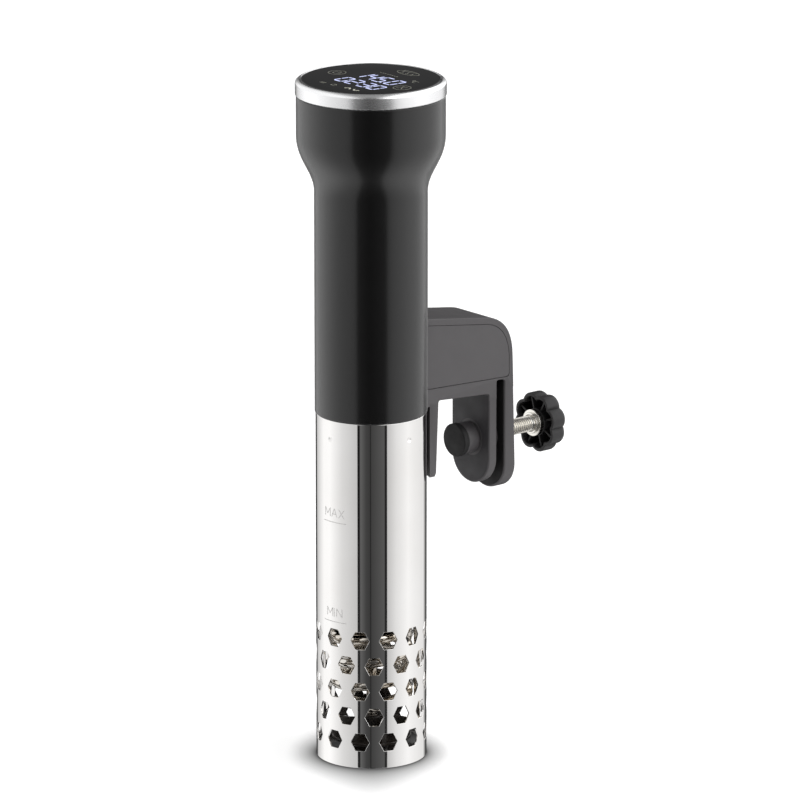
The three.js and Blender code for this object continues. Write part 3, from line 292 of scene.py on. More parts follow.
def catmull_rom(points, step):
    """A centripetal curve through points, sampled about every step."""
    points = [Vector(p) for p in points]
    first = points[0] * 2 - points[1]
    last = points[-1] * 2 - points[-2]
    padded = [first, *points, last]
    result = [points[0]]
    for p0, p1, p2, p3 in zip(padded, padded[1:], padded[2:], padded[3:]):
        t0 = 0.0
        t1 = t0 + (p1 - p0).length ** 0.5
        t2 = t1 + (p2 - p1).length ** 0.5
        t3 = t2 + (p3 - p2).length ** 0.5
        count = max(1, ceil((p2 - p1).length / step))
        for k in range(1, count + 1):
            t = t1 + (t2 - t1) * k / count
            a1 = p0 * ((t1 - t) / (t1 - t0)) + p1 * ((t - t0) / (t1 - t0))
            a2 = p1 * ((t2 - t) / (t2 - t1)) + p2 * ((t - t1) / (t2 - t1))
            a3 = p2 * ((t3 - t) / (t3 - t2)) + p3 * ((t - t2) / (t3 - t2))
            b1 = a1 * ((t2 - t) / (t2 - t0)) + a2 * ((t - t0) / (t2 - t0))
            b2 = a2 * ((t3 - t) / (t3 - t1)) + a3 * ((t - t1) / (t3 - t1))
            result.append(b1 * ((t2 - t) / (t2 - t1)) + b2 * ((t - t1) / (t2 - t1)))
    return result

# ---------------------------------------------------------------- materials

class Finish:
    """A Principled material with helpers that add grain, tint and worn patches by node."""

    def __init__(self, name, color, roughness, metallic=0.0, **sockets):
        self.material = bpy.data.materials.new(name)
        self.material.use_nodes = True
        self.nodes = self.material.node_tree.nodes
        self.links = self.material.node_tree.links
        self.shader = self.nodes["Principled BSDF"]
        self.shader.inputs["Base Color"].default_value = (*color, 1)
        self.shader.inputs["Roughness"].default_value = roughness
        self.shader.inputs["Metallic"].default_value = metallic
        for socket, value in sockets.items():
            self.shader.inputs[socket.replace("_", " ")].default_value = value
        self.place = self.nodes.new("ShaderNodeTexCoord").outputs["Object"]
        self.height = None

    def noise(self, scale, detail=3.0, stretch=None):
        """Noise of a number of patches a metre, stretched by a factor along each axis."""
        texture = self.nodes.new("ShaderNodeTexNoise")
        texture.inputs["Scale"].default_value = scale
        texture.inputs["Detail"].default_value = detail
        source = self.place
        if stretch:
            mapping = self.nodes.new("ShaderNodeMapping")
            mapping.inputs["Scale"].default_value = stretch
            self.links.new(source, mapping.inputs["Vector"])
            source = mapping.outputs["Vector"]
        self.links.new(source, texture.inputs["Vector"])
        return texture.outputs["Fac"]

    def ranged(self, value, low, high, start=0.3, end=0.7):
        node = self.nodes.new("ShaderNodeMapRange")
        node.inputs["From Min"].default_value = start
        node.inputs["From Max"].default_value = end
        node.inputs["To Min"].default_value = low
        node.inputs["To Max"].default_value = high
        self.links.new(value, node.inputs["Value"])
        return node.outputs["Result"]

    def vary_roughness(self, low, high, scale, stretch=None):
        roughness = self.ranged(self.noise(scale, 4, stretch), low, high)
        self.links.new(roughness, self.shader.inputs["Roughness"])
        return self

    def vary_color(self, first, second, scale):
        mix = self.nodes.new("ShaderNodeMix")
        mix.data_type = "RGBA"
        mix.inputs["A"].default_value = (*first, 1)
        mix.inputs["B"].default_value = (*second, 1)
        self.links.new(self.ranged(self.noise(scale, 4), 0, 1), mix.inputs["Factor"])
        self.links.new(mix.outputs["Result"], self.shader.inputs["Base Color"])
        return self

    def grain(self, scale, depth, stretch=None):
        """Adds bump of a depth in metres. Several calls add up."""
        bump = self.nodes.new("ShaderNodeBump")
        bump.inputs["Strength"].default_value = 1.0
        bump.inputs["Distance"].default_value = depth
        self.links.new(self.noise(scale, 2.0, stretch), bump.inputs["Height"])
        if self.height:
            self.links.new(self.height.outputs["Normal"], bump.inputs["Normal"])
        self.height = bump
        self.links.new(bump.outputs["Normal"], self.shader.inputs["Normal"])
        return self

    def worn_edges(self, color, sharpness=0.53):
        """Lightens edges that hands and pots rub, by how far the surface points out."""
        geometry = self.nodes.new("ShaderNodeNewGeometry")
        edge = self.ranged(geometry.outputs["Pointiness"], 0, 1, 0.5, sharpness)
        mix = self.nodes.new("ShaderNodeMix")
        mix.data_type = "RGBA"
        base = self.shader.inputs["Base Color"]
        if base.is_linked:
            self.links.new(base.links[0].from_socket, mix.inputs["A"])
        else:
            mix.inputs["A"].default_value = base.default_value
        mix.inputs["B"].default_value = (*color, 1)
        self.links.new(edge, mix.inputs["Factor"])
        self.links.new(mix.outputs["Result"], base)
        return self

def housing_plastic():
    finish = Finish("housing plastic", (0.001, 0.0009, 0.001), 0.22, IOR=1.58,
                    Sheen_Weight=0.3, Sheen_Roughness=0.4)
    finish.vary_roughness(0.21, 0.23, 60).vary_color((0.0008, 0.0007, 0.0008), (0.0014, 0.0013, 0.0014), 90)
    return finish.grain(5200, 0.000002).grain(900, 0.0000008).material

def clamp_plastic():
    finish = Finish("clamp plastic", (0.049, 0.045, 0.048), 0.55)
    finish.vary_roughness(0.5, 0.6, 120).vary_color((0.046, 0.042, 0.045), (0.052, 0.048, 0.051), 60)
    finish.worn_edges((0.068, 0.064, 0.067))
    return finish.grain(3600, 0.000012).material

def shaded_plastic():
    # A darker copy of the clamp plastic: painted shade for the jaw face, which the tube keeps from the
    # light.
    finish = Finish("jaw plastic with painted shade", (0.032, 0.030, 0.033), 0.62)
    finish.vary_roughness(0.55, 0.7, 120).vary_color((0.029, 0.027, 0.030), (0.035, 0.033, 0.036), 40)
    return finish.grain(1500, 0.0000015).material

def knob_plastic():
    finish = Finish("knob plastic", (0.016, 0.0155, 0.016), 0.5, IOR=1.32)
    finish.vary_roughness(0.38, 0.48, 150).vary_color((0.014, 0.0135, 0.014), (0.019, 0.0185, 0.019), 80)
    finish.worn_edges((0.035, 0.034, 0.035))
    return finish.grain(2600, 0.00001).material

def black_plastic():
    finish = Finish("moulded black plastic", (0.030, 0.026, 0.022), 0.4)
    finish.vary_roughness(0.34, 0.46, 140).vary_color((0.026, 0.022, 0.019), (0.040, 0.034, 0.027), 90)
    return finish.grain(2200, 0.000012).material

def inner_plastic():
    finish = Finish("engineering plastic", (0.10, 0.10, 0.11), 0.5)
    finish.vary_roughness(0.42, 0.58, 130).vary_color((0.09, 0.09, 0.10), (0.12, 0.12, 0.13), 70)
    return finish.grain(1800, 0.000012).material

def bearing_plastic():
    finish = Finish("bearing plastic", (0.55, 0.52, 0.46), 0.35)
    finish.vary_roughness(0.3, 0.42, 200).vary_color((0.52, 0.49, 0.42), (0.6, 0.57, 0.5), 120)
    return finish.grain(1500, 0.000008, stretch=(1, 1, 8)).material

def rubber():
    finish = Finish("silicone rubber", (0.009, 0.0085, 0.009), 0.62, IOR=1.4)
    finish.vary_roughness(0.55, 0.72, 160).vary_color((0.007, 0.0065, 0.007), (0.013, 0.0125, 0.013), 110)
    return finish.grain(1400, 0.00002).material

def polished_steel():
    finish = Finish("mirror polished steel", (0.86, 0.845, 0.83), 0.045, 1.0)
    finish.vary_roughness(0.03, 0.065, 45, (1, 1, 0.25))
    finish.vary_color((0.84, 0.825, 0.81), (0.88, 0.87, 0.86), 30)
    return finish.grain(30, 0.0000016, stretch=(1, 1, 0.35)).material

def inner_steel():
    finish = Finish("bright inner steel", (0.72, 0.70, 0.67), 0.10, 1.0)
    finish.vary_roughness(0.07, 0.15, 60).vary_color((0.76, 0.74, 0.71), (0.62, 0.54, 0.43), 28)
    return finish.grain(120, 0.000002).material

def etched_mark():
    finish = Finish("etched mark", (0.62, 0.61, 0.60), 0.5, 0.6)
    finish.vary_roughness(0.45, 0.65, 900)
    return finish.grain(6000, 0.000004).material

def plain_steel():
    finish = Finish("plain steel", (0.55, 0.55, 0.54), 0.35, 1.0)
    finish.vary_roughness(0.28, 0.45, 180).vary_color((0.50, 0.50, 0.49), (0.62, 0.61, 0.59), 70)
    return finish.grain(1500, 0.000006, stretch=(1, 1, 6)).material

def screw_steel():
    finish = Finish("machined steel", (0.86, 0.84, 0.79), 0.25, 1.0)
    finish.vary_roughness(0.23, 0.28, 200).vary_color((0.88, 0.86, 0.81), (0.80, 0.77, 0.71), 60)
    return finish.grain(600, 0.0000002).material

def satin_ring():
    finish = Finish("satin ring metal", (0.97, 0.97, 0.98), 0.27, 1.0)
    finish.vary_roughness(0.26, 0.28, 160, (1, 1, 6)).vary_color((0.96, 0.96, 0.97), (0.98, 0.98, 0.99), 60)
    return finish.grain(2500, 0.0000004, stretch=(1, 1, 5)).material

def aluminium_sink():
    finish = Finish("extruded aluminium", (0.70, 0.70, 0.72), 0.35, 1.0)
    finish.vary_roughness(0.3, 0.42, 300).vary_color((0.66, 0.66, 0.68), (0.74, 0.74, 0.76), 90)
    return finish.grain(900, 0.000008, stretch=(6, 6, 1)).material

def brass():
    finish = Finish("machined brass", (0.62, 0.45, 0.18), 0.25, 1.0)
    finish.vary_roughness(0.2, 0.34, 260).vary_color((0.64, 0.47, 0.20), (0.52, 0.36, 0.13), 100)
    return finish.grain(1800, 0.000006).material

def copper_winding():
    finish = Finish("enamelled copper", (0.45, 0.17, 0.07), 0.3, 0.8)
    finish.vary_roughness(0.22, 0.4, 300).vary_color((0.48, 0.19, 0.08), (0.36, 0.12, 0.05), 200)
    return finish.grain(1200, 0.00006, stretch=(0.2, 0.2, 3)).material

def circuit_board():
    finish = Finish("circuit board", (0.01, 0.10, 0.04), 0.35)
    finish.vary_roughness(0.28, 0.5, 400).vary_color((0.008, 0.085, 0.03), (0.02, 0.15, 0.06), 260)
    return finish.grain(700, 0.00003).material

def touch_glass():
    finish = Finish("touch glass", (0.004, 0.004, 0.005), 0.05, Coat_Weight=0.6, Coat_Roughness=0.02)
    finish.vary_roughness(0.035, 0.075, 40).vary_color((0.0035, 0.0035, 0.0045), (0.006, 0.006, 0.007), 50)
    return finish.grain(60, 0.0000008).material

def lit_segment():
    finish = Finish("lit segment", (0.55, 0.6, 0.8), 0.3, Emission_Strength=0.8)
    finish.vary_roughness(0.25, 0.35, 300)
    mix = finish.nodes.new("ShaderNodeMix")
    mix.data_type = "RGBA"
    mix.inputs["A"].default_value = (0.20, 0.21, 0.52, 1)
    mix.inputs["B"].default_value = (0.62, 0.66, 0.95, 1)
    finish.links.new(finish.ranged(finish.noise(900), 0, 1), mix.inputs["Factor"])
    finish.links.new(mix.outputs["Result"], finish.shader.inputs["Emission Color"])
    return finish.material

def bright_symbol():
    finish = Finish("bright symbol", (0.55, 0.54, 0.38), 0.35, Emission_Strength=0.25)
    finish.vary_roughness(0.3, 0.4, 500).vary_color((0.45, 0.45, 0.30), (0.62, 0.60, 0.45), 300)
    return finish.grain(2500, 0.000001).material

def printed_symbol():
    finish = Finish("printed symbol", (0.30, 0.30, 0.25), 0.35)
    finish.vary_roughness(0.3, 0.4, 500).vary_color((0.25, 0.25, 0.20), (0.34, 0.34, 0.30), 300)
    return finish.material

def display_white():
    finish = Finish("display bezel", (0.06, 0.06, 0.065), 0.4)
    finish.vary_roughness(0.35, 0.5, 240).vary_color((0.055, 0.055, 0.06), (0.07, 0.07, 0.075), 120)
    return finish.grain(1500, 0.00001).material

FINISHES = {
    "skirt_steel": polished_steel(), "inner_steel": inner_steel(), "plain_steel": plain_steel(),
    "screw_steel": screw_steel(), "satin_ring": satin_ring(), "aluminium_sink": aluminium_sink(),
    "housing_plastic": housing_plastic(), "black_plastic": black_plastic(), "clamp_plastic": clamp_plastic(),
    "shaded_plastic": shaded_plastic(), "bright_symbol": bright_symbol(),
    "knob_plastic": knob_plastic(), "inner_plastic": inner_plastic(), "bearing_plastic": bearing_plastic(),
    "rubber": rubber(), "display_glass": touch_glass(), "display_white": display_white(),
    "circuit_board": circuit_board(), "copper_winding": copper_winding(), "brass": brass(),
}

# ---------------------------------------------------------------- skirt

SKIRT_HIGH = span("skirt_tube")[1]
SKIRT_R = SKIRT_HIGH.x
SKIRT_WALL = 0.8
SKIRT_TOP = SKIRT_HIGH.z

class TubeWall:
    """Collects the faces of the perforated tube, with exact normals for a clean mirror."""

    def __init__(self):
        self.points = []
        self.normals = []
        self.faces = []

    def corner(self, arc, height, depth, normal):
        """A point at a depth below the outside, with a normal given along (arc, height, out)."""
        angle = HOLE_FIRST_ANGLE + arc / SKIRT_R
        radius = SKIRT_R - depth
        out = Vector((cos(angle), sin(angle), 0))
        tangent = Vector((-sin(angle), cos(angle), 0))
        self.points.append(tuple(out * radius + Vector((0, 0, height))))
        leaning = tangent * normal[0] + Vector((0, 0, normal[1])) + out * normal[2]
        self.normals.append(leaning.normalized())
        return len(self.points) - 1

    def quad(self, corners):
        self.faces.append([self.corner(*c) for c in corners])

    def ring(self, outer, inner, outer_normals, inner_normals):
        """Joins two loops of (arc, height, depth)."""
        size = len(outer)
        for i in range(size):
            j = (i + 1) % size
            self.quad([(*outer[i], outer_normals[i][0]), (*outer[j], outer_normals[i][1]),
                       (*inner[j], inner_normals[i][1]), (*inner[i], inner_normals[i][0])])

def cell_border(centre, height, width, tall, per_side):
    """Points round a cell, counter-clockwise from the middle of its right side."""
    w, h = width / 2, tall / 2
    right = [(w, h * 2 * k / per_side) for k in range(per_side // 2)]
    top = [(w - width * k / per_side, h) for k in range(per_side)]
    left = [(-w, h - tall * k / per_side) for k in range(per_side)]
    bottom = [(-w + width * k / per_side, -h) for k in range(per_side)]
    rest = [(w, -h + tall * k / per_side) for k in range(per_side // 2)]
    return [(centre + x, height + y) for x, y in right + top + left + bottom + rest]

def hexagon(centre, height, grow, per_edge):
    """Points round a hexagonal hole, counter-clockwise from its right corner."""
    w, h = HOLE_WIDTH / 2 + grow * 1.15, HOLE_HEIGHT / 2 + grow
    corners = [(w, 0), (w / 2, h), (-w / 2, h), (-w, 0), (-w / 2, -h), (w / 2, -h)]
    result = []
    for a, b in zip(corners, corners[1:] + corners[:1]):
        for k in range(per_edge):
            t = k / per_edge
            result.append((centre + a[0] + (b[0] - a[0]) * t, height + a[1] + (b[1] - a[1]) * t))
    return result

def blended(first, second, t):
    return [(a[0] + (b[0] - a[0]) * t, a[1] + (b[1] - a[1]) * t) for a, b in zip(first, second)]

def at_depth(loop, depth):
    return [(x, y, depth) for x, y in loop]

def hole_cell(wall, centre, height, width, tall):
    """A cell of the wall with a hexagonal hole whose edges are slightly rounded."""
    per_side, per_edge, edge = 12, 8, 0.14
    border = cell_border(centre, height, width, tall, per_side)
    count = len(border)
    walls = []
    for i in range(count):
        side = i // per_edge
        angle = radians(30 + 60 * side)
        walls.append((-cos(angle), -sin(angle), 0))
    for face, out in ((0.0, 1.0), (SKIRT_WALL, -1.0)):
        into = 1 if face == 0 else -1
        flat = [((0, 0, out), (0, 0, out))] * count
        rim = hexagon(centre, height, edge, per_edge)
        loops = [blended(border, rim, t) for t in (0, 0.35, 0.7, 1)]
        for a, b in zip(loops, loops[1:]):
            wall.ring(at_depth(a, face), at_depth(b, face), flat, flat)
        previous, previous_normals = at_depth(rim, face), flat
        for turn in (radians(30), radians(60), radians(90)):
            loop = hexagon(centre, height, edge * (1 - sin(turn)), per_edge)
            normals = []
            for w in walls:
                n = (w[0] * sin(turn), w[1] * sin(turn), out * cos(turn))
                normals.append((n, n))
            here = at_depth(loop, face + into * edge * (1 - cos(turn)))
            wall.ring(previous, here, previous_normals, normals)
            previous, previous_normals = here, normals
    inner = hexagon(centre, height, 0, per_edge)
    straight = [(w, w) for w in walls]
    wall.ring(at_depth(inner, edge), at_depth(inner, SKIRT_WALL - edge), straight, straight)

def plain_cell(wall, centre, height, width, tall, columns, rows):
    for face, out in ((0.0, 1.0), (SKIRT_WALL, -1.0)):
        n = (0, 0, out)
        for c in range(columns):
            x0 = centre - width / 2 + width * c / columns
            x1 = x0 + width / columns
            for r in range(rows):
                y0 = height - tall / 2 + tall * r / rows
                y1 = y0 + tall / rows
                wall.quad([(x0, y0, face, n), (x1, y0, face, n), (x1, y1, face, n), (x0, y1, face, n)])

def dimple_cell(wall, centre, height, width, tall):
    """A cell with a round dimple pressed into the wall from outside."""
    per_side = 12
    border = cell_border(centre, height, width, tall, per_side)
    count = len(border)
    reach, depth = 1.65, 0.55

    def sink(r):
        return depth * (0.5 + 0.5 * cos(pi * min(r / reach, 1))) ** 0.9

    def slope(r):
        return (sink(r + 0.01) - sink(max(r - 0.01, 0))) / 0.02

    radii = [reach * k / 10 for k in range(10, -1, -1)]
    for face, out in ((0.0, 1.0), (SKIRT_WALL, -1.0)):
        flat = [((0, 0, out), (0, 0, out))] * count
        circle = [(centre + reach * cos(TURN * i / count), height + reach * sin(TURN * i / count))
                  for i in range(count)]
        loops = [blended(border, circle, t) for t in (0, 0.4, 0.75, 1)]
        for a, b in zip(loops, loops[1:]):
            wall.ring(at_depth(a, face), at_depth(b, face), flat, flat)
        for r0, r1 in zip(radii, radii[1:]):
            rings, normals = [], []
            for r in (r0, max(r1, 0.01)):
                rings.append([(centre + r * cos(TURN * i / count), height + r * sin(TURN * i / count),
                               face + sink(r)) for i in range(count)])
                pairs = []
                for i in range(count):
                    both = []
                    for k in (i, (i + 1) % count):
                        a = TURN * k / count
                        both.append((out * slope(r) * cos(a), out * slope(r) * sin(a), out))
                    pairs.append(tuple(both))
                normals.append(pairs)
            wall.ring(rings[0], rings[1], normals[0], normals[1])

def skirt_edges(wall):
    """The rounded lower and upper edges of the tube."""
    edge = 0.25
    for end, sign in ((0.0, -1), (SKIRT_TOP, 1)):
        turns = [pi * k / 8 for k in range(9)]
        width = TURN * SKIRT_R / COLUMNS
        for c in range(COLUMNS):
            for a, b in zip(turns, turns[1:]):
                corners = []
                for x, t in ((c, a), (c + 1, a), (c + 1, b), (c, b)):
                    corner_depth = edge * (1 - cos(t)) if t <= pi / 2 else SKIRT_WALL - edge * (1 + cos(t))
                    height = end - sign * edge * (1 - sin(t))
                    corners.append((x * width, height, corner_depth, (0, sign * sin(t), cos(t))))
                wall.quad(corners)
    return edge

def skirt_tube():
    wall = TubeWall()
    edge = skirt_edges(wall)
    around = TURN * SKIRT_R
    width = around / HOLES_PER_ROW
    columns = COLUMNS // HOLES_PER_ROW
    first_low = HOLE_FIRST_HEIGHT - HOLE_ROW_PITCH / 2
    holes_top = first_low + HOLE_ROWS * HOLE_ROW_PITCH
    dimple_low, dimple_high = DIMPLE_HEIGHT - 5, DIMPLE_HEIGHT + 5
    for i in range(HOLES_PER_ROW):
        centre = i * width
        plain_cell(wall, centre, (edge + first_low) / 2, width, first_low - edge, columns, 3)
        for row in range(HOLE_ROWS):
            shift = (row % 2) * width / 2
            hole_cell(wall, centre + shift, HOLE_FIRST_HEIGHT + row * HOLE_ROW_PITCH, width, HOLE_ROW_PITCH)
        plain_cell(wall, centre, (holes_top + dimple_low) / 2, width, dimple_low - holes_top, columns, 8)
        dimple_shift = (DIMPLE_ANGLE - HOLE_FIRST_ANGLE) * SKIRT_R
        cell = (wall, centre + dimple_shift, DIMPLE_HEIGHT, width, dimple_high - dimple_low)
        if i % 3 == 0:
            dimple_cell(*cell)
        else:
            plain_cell(*cell, columns, columns)
        top = SKIRT_TOP - edge
        plain_cell(wall, centre, (dimple_high + top) / 2, width, top - dimple_high, columns, 2)

    mesh = bpy.data.meshes.new("skirt_tube")
    mesh.from_pydata([[c * MM for c in p] for p in wall.points], [], wall.faces)
    mesh.polygons.foreach_set("use_smooth", [True] * len(mesh.polygons))
    vertex_of_loop = np.empty(len(mesh.loops), dtype=np.int32)
    mesh.loops.foreach_get("vertex_index", vertex_of_loop)
    loop_normals = np.array(wall.normals)[vertex_of_loop]
    mesh.normals_split_custom_set(weld_keeping_loops(mesh, loop_normals))
    return mesh

def weld_keeping_loops(mesh, loop_normals):
    """Merges points that coincide, turns faces outwards and returns each loop's normal in the new order."""
    shaped = bmesh.new()
    shaped.from_mesh(mesh)
    layer = shaped.loops.layers.float_vector.new("normal_kept")
    index = 0
    for face in shaped.faces:
        for loop in face.loops:
            loop[layer] = loop_normals[index]
            index += 1
    bmesh.ops.remove_doubles(shaped, verts=shaped.verts, dist=2e-6)
    wrong = [f for f in shaped.faces if f.normal.dot(sum((l[layer] for l in f.loops), Vector())) < 0]
    bmesh.ops.reverse_faces(shaped, faces=wrong)
    kept = [tuple(loop[layer]) for face in shaped.faces for loop in face.loops]
    shaped.loops.layers.float_vector.remove(layer)
    shaped.to_mesh(mesh)
    shaped.free()
    return kept

def stroke(points, start, end, width, thickness, wrap):
    """One closed bar between two flat points, bent by wrap. Returns its faces' points."""
    start, end = Vector(start), Vector(end)
    along = (end - start).normalized()
    side = Vector((-along.y, along.x)) * width / 2
    steps = max(1, ceil((end - start).length / 0.8))
    loops = []
    for k in range(steps + 1):
        at = start + (end - start) * k / steps
        loops.append([wrap(at + side, 0), wrap(at - side, 0),
                      wrap(at - side, thickness), wrap(at + side, thickness)])
    base = len(points)
    for loop in loops:
        points.extend(loop)
    faces = []
    for k in range(steps):
        for i in range(4):
            j = (i + 1) % 4
            a = base + k * 4
            faces.append((a + i, a + j, a + 4 + j, a + 4 + i))
    faces.append((base, base + 1, base + 2, base + 3))
    last = base + steps * 4
    faces.append((last, last + 1, last + 2, last + 3))
    return faces

def strokes_mesh(name, bars, width, thickness, wrap):
    points, faces = [], []
    for start, end in bars:
        faces += stroke(points, start, end, width, thickness, wrap)
    return mesh_from(name, points, faces, 30)

LETTERS = {
    "M": [((0, 0), (0, 1)), ((0, 1), (0.5, 0.3)), ((0.5, 0.3), (1, 1)), ((1, 1), (1, 0))],
    "A": [((0, 0), (0.5, 1)), ((0.5, 1), (1, 0)), ((0.18, 0.35), (0.82, 0.35))],
    "X": [((0, 0), (1, 1)), ((0, 1), (1, 0))],
    "I": [((0, 0), (0, 1))],
    "N": [((0, 0), (0, 1)), ((0, 1), (1, 0)), ((1, 0), (1, 1))],
}

def level_mark(name, word, widths, height):
    """A level line with its word above it, etched into the skirt."""
    def wrap(point, lift):
        angle = MARK_ANGLE + point[0] / SKIRT_R
        radius = SKIRT_R - 0.03 + lift
        return (radius * cos(angle), radius * sin(angle), height + point[1])

    tall, gap, lift = 4.3, 1.0, 2.6
    total = sum(widths) + gap * (len(word) - 1)
    bars = [((-7.3, 0), (7.3, 0))]
    x = -total / 2
    for letter, wide in zip(word, widths):
        for start, end in LETTERS[letter]:
            bars.append([(x + u * wide, lift + v * tall) for u, v in (start, end)])
        x += wide + gap
    mesh = strokes_mesh(name, bars, 0.42, 0.055, wrap)
    add_piece(name, mesh, MARK, "skirt")

MARK = etched_mark()
stand_in("skirt", skirt_tube(), "skirt", "skirt_tube", "skirt_steel")
level_mark("upper_level_mark", "MAX", (3.6, 3.4, 3.2), 123.0)
level_mark("lower_level_mark", "MIN", (3.8, 0.5, 3.2), 72.8)

# ---------------------------------------------------------------- base cap

def base_cap():
    high = span("base_cap")[1]
    rim = high.x
    inner, hub, plate = rim - 2.2, 8.0, 3.0
    edge = [(inner, 0.4), (inner + 0.4, 0), (rim - 0.6, 0), (rim, 0.6), (rim, high.z - 0.3),
            (rim - 0.3, high.z), (inner + 0.3, high.z), (inner, high.z - 0.3)]
    boss = [(0, 0), (hub - 0.6, 0), (hub, 0.6), (hub, plate - 0.5), (hub - 0.5, plate), (0, plate)]
    bars = []
    for i in range(3):
        width = 1.5
        bar = prism("bar", [(-inner - 0.8, -width), (inner + 0.8, -width), (inner + 0.8, width),
                            (-inner - 0.8, width)], 0.02, plate, 0.5)
        bars.append(moved(bar, Matrix.Rotation(TURN * i / 6, 4, "Z")))
    mesh = combined("base_cap", "UNION", lathe("rim", edge, 96), [lathe("hub", boss, 48), *bars])
    stand_in("foot_grille", mesh, "skirt", "base_cap", "black_plastic")

base_cap()

# ---------------------------------------------------------------- head

def shoulder(low_radius, high_radius, steps=20):
    """The S-shaped run from the neck to the head."""
    return bezier((low_radius, 283), (low_radius, 293.5), (high_radius, 298.7), (high_radius, 311), steps)

def main_housing():
    low, high = span("main_housing")
    head, neck = high.x, 27.42
    outside = [(neck - 0.7, low.z), *rounded([(neck - 0.7, low.z), (neck, low.z), (neck, low.z + 2)], 0.6,
                                             closed=False)[1:-1],
               (neck, low.z + 40), (neck, 240), *shoulder(neck, head),
               (head, high.z - 0.4), (head - 0.4, high.z)]
    inside = [(25.2, low.z), *shoulder(25.2, 33.8), (33.8, high.z)]
    shell = lathe("shell", outside + inside[::-1], 160)
    mesh = combined("main_housing", "DIFFERENCE", shell, [cylinder_y("inlet", 5.3, 30, 40, 316)], 40)
    stand_in("housing", mesh, "body", "main_housing", "housing_plastic")

def cord_gland():
    low, high = span("cord_gland")
    flange, tip = high.y - 1.6, high.y
    start = low.y
    profile = rounded([(5, 32.6), (5, flange), (6.8, flange), (6.4, tip), (3.9, tip), (3.2, tip - 0.9),
                       (3.2, start), (6.6, start), (6.6, 32.6)], [0, 0, 0.25, 0.5, 0.4, 0, 0.3, 0.3, 0])
    mesh = moved(lathe("cord_gland", profile, 64), along_y((low.z + high.z) / 2))
    stand_in("lead_gland", mesh, "body", "cord_gland", "rubber")

def trim_ring():
    low, high = span("trim_ring")
    outer, top = high.x, high.z
    bottom, inner = 331.0, 33.9
    bevel = bezier((outer, top - 2.1), (outer, top - 1.2), (outer - 0.7, top - 0.6), (inner + 0.5, top), 10)
    profile = [(outer - 0.35, bottom), (outer, bottom + 0.35), *bevel, (inner + 0.15, top - 0.05),
               (inner, top - 0.3), (inner, 334.9), (31.2, 334.9), (31.2, 332.6), (31.8, 332),
               (31.8, low.z), (33.5, low.z), (33.5, bottom)]
    mesh = lathe("trim_ring", profile, 192, 40)
    stand_in("display_ring", mesh, "body", "trim_ring", "satin_ring")

def touch_glass_disc():
    low, high = span("touch_glass")
    radius, top = high.x, high.z
    edge = rounded([(radius, low.z), (radius, top), (0, top)], [0, 0.4, 0], 6, closed=False)
    profile = [(0, low.z), (radius - 0.2, low.z), (radius, low.z + 0.2), *edge[1:-1], (20, top), (0, top)]
    mesh = lathe("touch_glass", profile, 160, 40)
    stand_in("display_glass", mesh, "body", "touch_glass", "display_glass")

main_housing()
cord_gland()
trim_ring()
touch_glass_disc()

# ---------------------------------------------------------------- display

GLASS_TOP = span("touch_glass")[1].z
LIT = lit_segment()
PRINTED = printed_symbol()
SEGMENTS = {"0": "abcdef", "1": "bc", "2": "abged", "3": "abgcd", "4": "fgbc", "5": "afgcd"}
SEGMENT_ENDS = {"a": ((0, 2), (1, 2)), "b": ((1, 2), (1, 1)), "c": ((1, 1), (1, 0)), "d": ((0, 0), (1, 0)),
                "e": ((0, 0), (0, 1)), "f": ((0, 1), (0, 2)), "g": ((0, 1), (1, 1))}

def plate_on_glass(points, faces, outline):
    """Adds a thin closed plate with an outline of (X, Y) on top of the glass."""
    base = len(points)
    size = len(outline)
    low, high = GLASS_TOP - 0.02, GLASS_TOP + 0.03
    points += [(x, y, low) for x, y in outline] + [(x, y, high) for x, y in outline]
    faces.append(tuple(base + i for i in range(size)))
    faces.append(tuple(base + size + i for i in range(size)))
    for i in range(size):
        j = (i + 1) % size
        faces.append((base + i, base + j, base + size + j, base + size + i))

def segment_outline(start, end, width):
    """A bar with pointed ends."""
    start, end = Vector(start), Vector(end)
    along = (end - start).normalized()
    side = Vector((-along.y, along.x)) * width / 2
    start, end = start + along * 0.18, end - along * 0.18
    tip = along * width / 2
    return [tuple(p) for p in (start, start + tip + side, end - tip + side, end, end - tip - side,
                               start + tip - side)]

def disc_outline(x, y, radius, count=16):
    return [(x + radius * cos(TURN * k / count), y + radius * sin(TURN * k / count)) for k in range(count)]

def number_row(name, text, left, bottom, wide, tall, gap, bar, slant=0.10):
    """A row of seven-segment digits, with dots and colons."""
    points, faces = [], []
    x = left
    for sign in text:
        if sign in ".:":
            heights = (0.0,) if sign == "." else (tall * 0.28, tall * 0.72)
            for height in heights:
                dot = disc_outline(x + slant * height - 0.1, bottom + height, bar * 0.55)
                plate_on_glass(points, faces, dot)
            x += bar * 1.5
            continue
        for key in SEGMENTS[sign]:
            ends = [(x + wide * u + slant * tall * v / 2, bottom + tall * v / 2)
                    for u, v in SEGMENT_ENDS[key]]
            plate_on_glass(points, faces, segment_outline(*ends, bar))
        x += wide + gap
    mesh = mesh_from(name, points, faces, 30)
    add_piece(name, mesh, LIT, "body")

def band(path, width):
    """Quads that follow a flat path with a width."""
    path = [Vector(p) for p in path]
    count = len(path)
    pairs = []
    for i, here in enumerate(path):
        before = path[i - 1] if i else here
        after = path[i + 1] if i < count - 1 else here
        along = (after - before).normalized()
        side = Vector((-along.y, along.x)) * width / 2
        pairs.append((here + side, here - side))
    return [[tuple(a[0]), tuple(a[1]), tuple(b[1]), tuple(b[0])] for a, b in zip(pairs, pairs[1:])]

def arc(x, y, radius, start, end, steps=24):
    return [(x + radius * cos(radians(start + (end - start) * k / steps)),
             y + radius * sin(radians(start + (end - start) * k / steps))) for k in range(steps + 1)]

